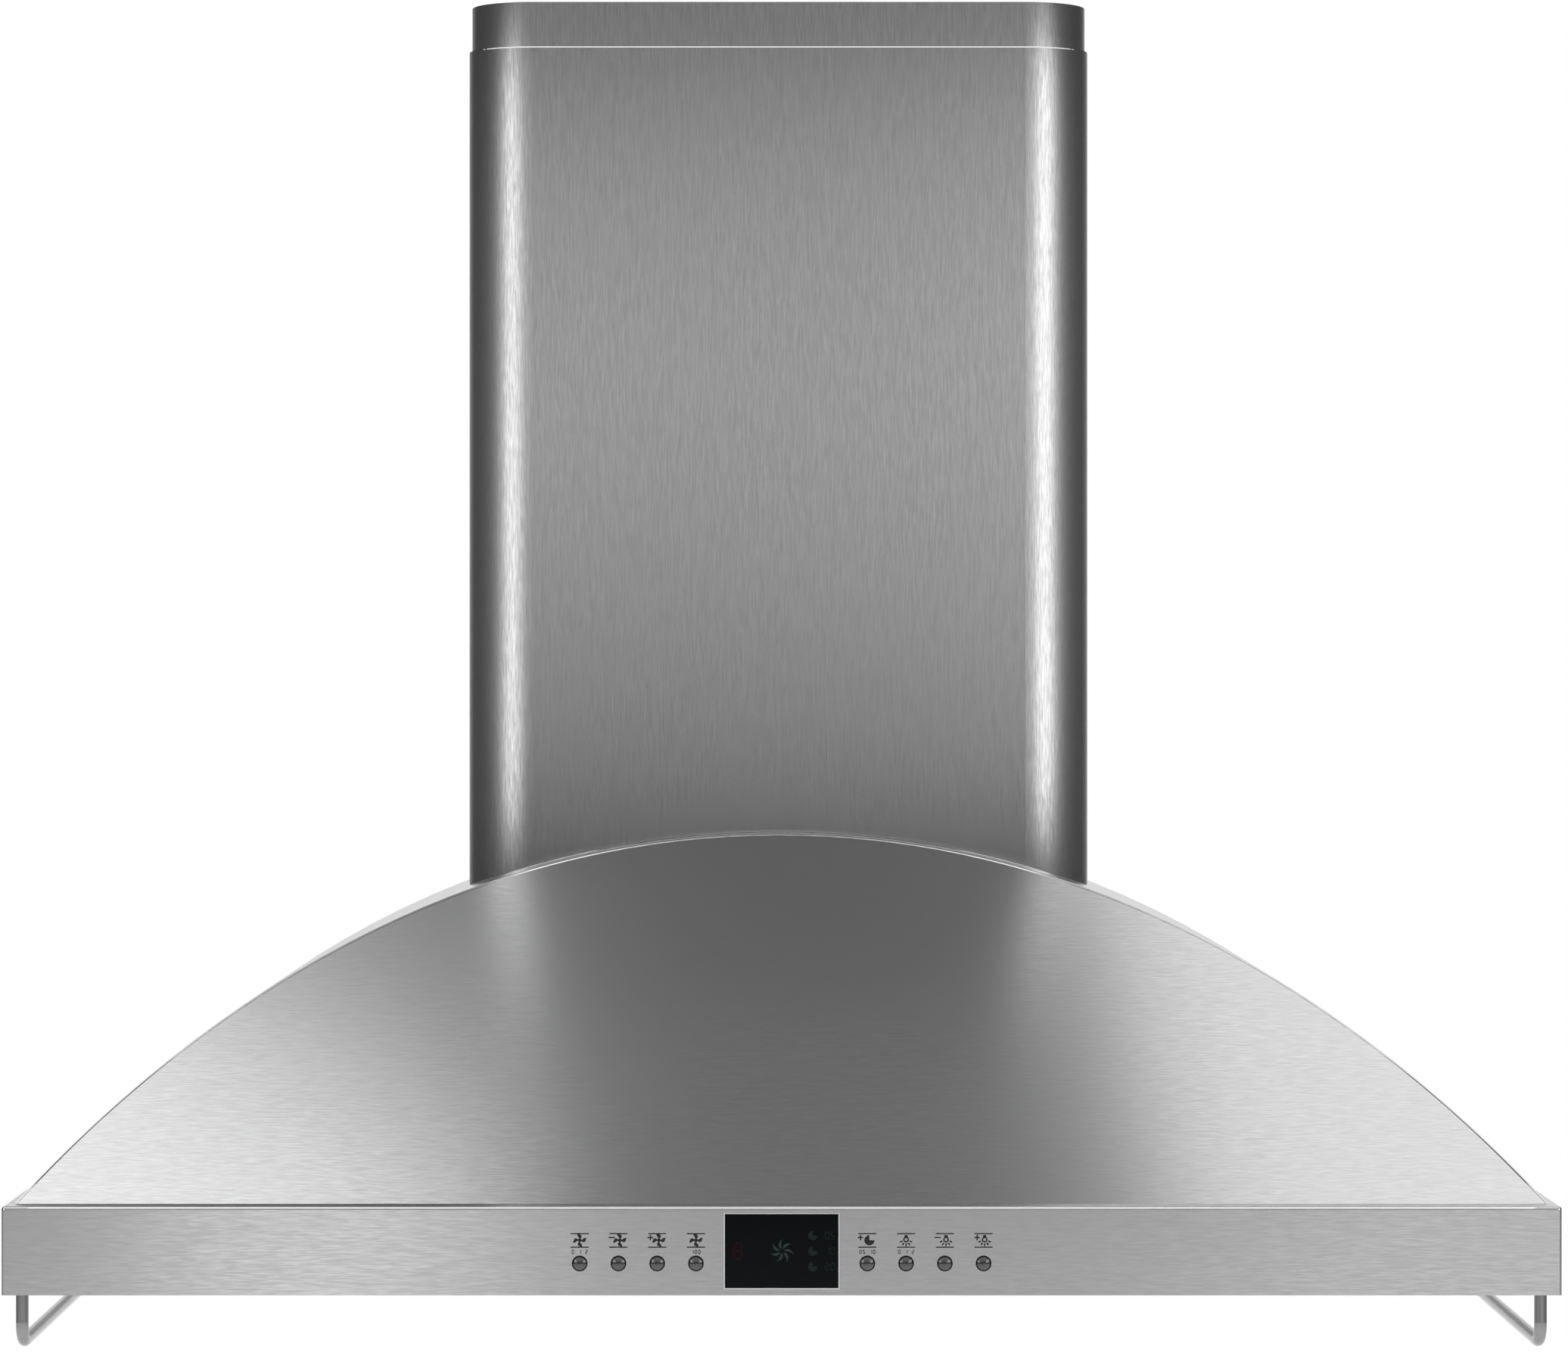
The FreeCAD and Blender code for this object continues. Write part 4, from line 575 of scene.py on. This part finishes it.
# %% Finishes of the smaller parts
FAINT = {"roughness": 0.2, "bump": 0.0, "shine": 0.06}      # signs under smoked glass
finishes.update({
    "zinc_plate": spangled("galvanised_sheet", (0.46, 0.47, 0.48), 0.38),
    "bright_fastener": bright_metal("plated_screws", (0.55, 0.55, 0.56), 0.25),
    "capacitor_case": bright_metal("drawn_can", (0.6, 0.6, 0.61), 0.32),
    "lamp_reflector": bright_metal("spun_reflector", (0.7, 0.7, 0.7), 0.2),
    "lamp_chrome": bright_metal("lamp_trim", (0.6, 0.6, 0.61), 0.14, bump=0.02),
    "display_frame": bright_metal("display_rim", (0.62, 0.62, 0.63), 0.3),
    "button_plastic": moulded("key_domes", (0.020, 0.021, 0.023), 0.15, shine=1.0),
    "bezel_plastic": moulded("key_rings", (0.004, 0.004, 0.0045), 0.45, shine=0.15),
    "black_plastic": moulded("black_housing", (0.03, 0.03, 0.031), 0.5, grain=600.0, bump=0.15),
    "gland_plastic": moulded("gland_nylon", (0.045, 0.045, 0.047), 0.45),
    "motor_paint": moulded("motor_enamel", (0.03, 0.03, 0.033), 0.35, grain=300.0, coat=0.3),
    "display_glass": moulded("smoked_window", (0.003, 0.004, 0.0045), 0.07, bump=0.0, shine=0.06),
    "circuit_board": moulded("lacquered_board", (0.02, 0.10, 0.045), 0.35, grain=400.0),
    "lamp_glass": clear_glass("frosted_lens", 0.35, (0.93, 0.95, 0.95)),
    "bulb_glass": clear_glass("bulb_capsule", 0.03, (0.97, 0.97, 0.95)),
})
ink = thin_layer("printed_ink", (0.018, 0.018, 0.019))
# A dark grey for the beads in the arch's seams: a painted shadow of the gap between panel and skin.
seam_painted_shadow = thin_layer("seam_painted_shadow", (0.05, 0.05, 0.051), roughness=0.6)
# A steel lighter than the sheet's for the band's top bead: partly its real reflection, partly
# painted highlight.
bare_edge_and_highlight = bright_metal("ground_edge_and_painted_highlight", (0.86, 0.86, 0.865), 0.42, bump=0.02)
# A pale, dull colour for the beads on the chimney's top edge and the arch: a painted highlight.
painted_edge_highlight = moulded("painted_edge_highlight", (0.88, 0.88, 0.885), 0.5, bump=0.02)
sign_green = thin_layer("faint_sign_green", (0.022, 0.040, 0.032), **FAINT)
sign_dim = thin_layer("faint_sign_dim", (0.011, 0.017, 0.016), **FAINT)
sign_red = thin_layer("faint_sign_red", (0.020, 0.003, 0.005), **FAINT)
print(len(finishes), "finishes for the record's slots")

# %% Put each finish on its solids
slots = {part["node"]: part["material_slot"] for part in frame["record"]["subparts"]}
for node, solid in nodes.items():
    for place in solid.material_slots:
        place.material = finishes[slots[node]]
dressed = [(piece, ink) for piece in ink_pieces] + [
    (sign_fan, sign_green), (sign_clocks, sign_dim), (sign_minutes, sign_dim),
    (sign_level, sign_red), (band_edge, bare_edge_and_highlight), (cover_edge, painted_edge_highlight), (arch_edge, painted_edge_highlight)]
for piece, finish in dressed + [(seam, seam_painted_shadow) for seam in seams]:
    piece.data.materials.append(finish)
print(len(slots), "solids and", len(dressed) + len(seams), "added pieces are finished")

# %% [markdown]
# ## The studio
# Steel shows its surroundings, so the studio is most of the picture. Two tall strips at the front
# corners draw the bright lines down the chimney's rounded edges; two large boxes overhead lie left
# and right, and the gap between them is the dark middle of the sloping panel. The room in front is
# dim, with a lighter band at eye level, a bright window high up that puts a small highlight on each
# key, and a lit wall low down that the front band shows. Behind the hood everything is white, for
# the camera, for reflections and through glass.

# %% Floor
FLOOR_Z, FLOOR_SIZE = -1.15, 14.0
FLOOR_GLOW = 0.45                                   # what the floor adds for rays that see it
WHITE = (1.0, 1.0, 1.0, 1.0)


def camera_light(add, extra):
    """The light that a stage surface adds for the rays that see it: straight from the camera, by
    a mirror, or through glass."""
    path = add("ShaderNodeLightPath")
    seen = add("ShaderNodeMath", {0: path.outputs["Is Camera Ray"],
                                  1: path.outputs["Is Glossy Ray"]}, operation="MAXIMUM")
    seen = add("ShaderNodeMath", {0: seen.outputs[0],
                                  1: path.outputs["Is Transmission Ray"]}, operation="MAXIMUM")
    return add("ShaderNodeMath", {0: seen.outputs[0], 1: extra}, operation="MULTIPLY").outputs[0]


corner = np.array([[-1, -1], [1, -1], [1, 1], [-1, 1]]) * FLOOR_SIZE / 2
floor_mesh = bpy.data.meshes.new("floor")
floor_mesh.from_pydata([(x, y, FLOOR_Z) for x, y in corner.tolist()], [], [(0, 1, 2, 3)])
floor = bpy.data.objects.new("floor", floor_mesh)
bpy.context.scene.collection.objects.link(floor)
floor_paint, floor_tree, floor_shader, floor_add = start_material("pale_floor")
set_shader(floor_tree, floor_shader, Base_Color=(0.86, 0.86, 0.86, 1.0), Roughness=0.9,
           Emission_Color=WHITE, Emission_Strength=camera_light(floor_add, FLOOR_GLOW))
floor_mesh.materials.append(floor_paint)

# %% [markdown]
# The hood is also looked at from below, where the floor would be in the way. So the floor is like
# one-way glass: its back is transparent, and only its upper face is painted.

# %% The floor's back lets the view through
underside = floor_add("ShaderNodeNewGeometry").outputs["Backfacing"]
from_below = floor_add("ShaderNodeBsdfTransparent").outputs["BSDF"]
one_sided = floor_add("ShaderNodeMixShader", {0: underside, 1: floor_shader.outputs["BSDF"],
                                              2: from_below}).outputs["Shader"]
floor_tree.links.new(one_sided, floor_tree.nodes["Material Output"].inputs["Surface"])
print("the floor hides nothing from below")

# %% The room's tree and its helpers
world = bpy.data.worlds.new("studio")
bpy.context.scene.world = world
world.use_nodes = True
sky = world.node_tree
sky.nodes.clear()
sky_node = node_adder(sky)


def step(value, start, end, low=0.0, high=1.0):
    """A smooth change from low to high while the value goes from start to end."""
    return sky_node("ShaderNodeMapRange", {"Value": value, "From Min": start, "From Max": end,
                                           "To Min": low, "To Max": high},
                    interpolation_type="SMOOTHSTEP").outputs["Result"]


def combine(operation, first, second):
    """One arithmetic step on two sockets or numbers."""
    return sky_node("ShaderNodeMath", {0: first, 1: second}, operation=operation).outputs[0]


def hump(value, rise, fall, height):
    """A smooth hump: it grows to its height over the span rise, and sinks again over fall."""
    return combine("MINIMUM", step(value, *rise, 0, height), step(value, *fall[::-1], 0, height))


direction = sky_node("ShaderNodeTexCoord").outputs["Generated"]
toward = sky_node("ShaderNodeSeparateXYZ", {0: direction})
along_x, along_y, along_z = (toward.outputs[axis] for axis in "XYZ")
print("the room is described by the direction of each ray")

# %% How bright the room is in each direction
BASE_LEVEL, FILL_LEVEL, WALL_LEVEL = 0.06, 0.75, 0.80
behind = step(along_y, 0.78, 0.95)
ahead = step(along_y, -0.70, -0.96)
eye_band = hump(along_z, (-0.030, 0.055), (0.055, 0.145), 0.33)
over_band = hump(along_z, (0.132, 0.152), (0.22, 0.30), 0.56)
high_window = hump(along_z, (0.28, 0.42), (0.80, 0.90), 0.9)
high_window = combine("MULTIPLY", high_window, step(along_y, -0.15, -0.40))
low_wall = step(along_z, -0.100, -0.130, 0, 1.5)
left_patch = hump(along_x, (-0.138, -0.095), (-0.080, -0.025), 2.0)
patches = combine("ADD", left_patch, step(along_x, 0.055, 0.125, 0, 1.1))
overhead = step(along_z, 0.55, 0.95, 0, 0.20)
front = combine("ADD", combine("ADD", eye_band, over_band),
                combine("MULTIPLY", low_wall, combine("ADD", patches, WALL_LEVEL)))
brightness = combine("ADD", combine("ADD", combine("MULTIPLY", ahead, front), overhead),
                     combine("ADD", high_window, BASE_LEVEL))

# %% [markdown]
# A mirrored ray sees the room just described. A ray that only brings light to a dull surface sees
# an even grey instead, and the camera sees white. Towards the back, mirrored rays and rays through
# glass see white too, as the camera does.

# %% What each kind of ray sees
ray = sky_node("ShaderNodeLightPath")
mirrored = combine("ADD", ray.outputs["Is Glossy Ray"], ray.outputs["Is Transmission Ray"])
shown = combine("MAXIMUM", combine("MULTIPLY", mirrored, behind), ray.outputs["Is Camera Ray"])
room, fill, white = (sky_node("ShaderNodeBackground", {"Color": WHITE, "Strength": strength})
                     for strength in (brightness, FILL_LEVEL, 1.0))
lit = sky_node("ShaderNodeMixShader", {0: ray.outputs["Is Glossy Ray"], 1: fill.outputs[0],
                                       2: room.outputs[0]})
final = sky_node("ShaderNodeMixShader", {0: shown, 1: lit.outputs[0], 2: white.outputs[0]})
sky_node("ShaderNodeOutputWorld", {"Surface": final.outputs[0]})
print(len(sky.nodes), "nodes make the room")

# %% [markdown]
# The lamps are soft boxes: flat and wide, because steel shows a lamp's shape, and a point lamp
# would leave a spot. Each was placed by the mirror rule: a ray from the camera to the surface
# leaves it at the same slope, and the lamp stands where that ray arrives.

# %% Lamps
def soft_box(name, place, aim, width, height, level, turned=0.0):
    """A rectangular lamp that faces a point, as bright as a surface of the given level. The level
    becomes watts through the lamp's area. The lamp is turned on its own axis by some degrees."""
    light = bpy.data.lights.new(name, "AREA")
    light.shape, light.size, light.size_y = "RECTANGLE", width, height
    light.energy = level * width * height * np.pi
    lamp_object = bpy.data.objects.new(name, light)
    bpy.context.scene.collection.objects.link(lamp_object)
    lamp_object.location = place
    facing = (Vector(aim) - Vector(place)).to_track_quat("-Z", "Y")
    spin = Quaternion((0, 0, 1), np.radians(turned))
    lamp_object.rotation_euler = (facing @ spin).to_euler()
    print(f"{name}: {light.energy:.0f} W")


STRIP_HEIGHTS = {"left": 0.48, "right": 0.485}      # each strip hangs level with what it lights
soft_box("strip_left", (-1.55, -1.89, STRIP_HEIGHTS["left"]),
         (-0.16, -0.155, STRIP_HEIGHTS["left"]), width=0.90, height=0.83, level=2.8)
soft_box("strip_right", (1.49, -1.90, STRIP_HEIGHTS["right"]),
         (0.16, -0.155, STRIP_HEIGHTS["right"]), width=1.10, height=0.84, level=2.9)
soft_box("roof_left", (-1.265, -0.26, 2.0), (-1.265, -0.26, 0.0), width=1.5, height=1.6,
         level=1.60, turned=57.5)
soft_box("roof_right", (1.157, 0.236, 2.0), (1.157, 0.236, 0.0), width=1.6, height=2.2,
         level=1.22, turned=12)

# %% [markdown]
# ## The camera
# The picture was taken level, from straight in front and about three metres off, with a long lens;
# the frame is shifted a little to the right and down from the lens's axis.

# %% Camera
FRAME_WIDTH = 2072
CAMERA_PLACE = (-0.0171, -3.530, 0.2403)
FOCAL_PIXELS = 6768
AXIS_RIGHT, AXIS_DOWN = 41.7, 24                    # how far the frame's centre is from the axis
lens = bpy.data.cameras.new("camera")
lens.sensor_width = 36.0
lens.lens = FOCAL_PIXELS * lens.sensor_width / FRAME_WIDTH
lens.shift_x, lens.shift_y = AXIS_RIGHT / FRAME_WIDTH, -AXIS_DOWN / FRAME_WIDTH
camera = bpy.data.objects.new("camera", lens)
bpy.context.scene.collection.objects.link(camera)
camera.location = CAMERA_PLACE
camera.rotation_euler = (np.pi / 2, 0, 0)
bpy.context.scene.camera = camera
bpy.context.scene.view_settings.view_transform = "Standard"
print(f"lens {lens.lens:.1f} mm")
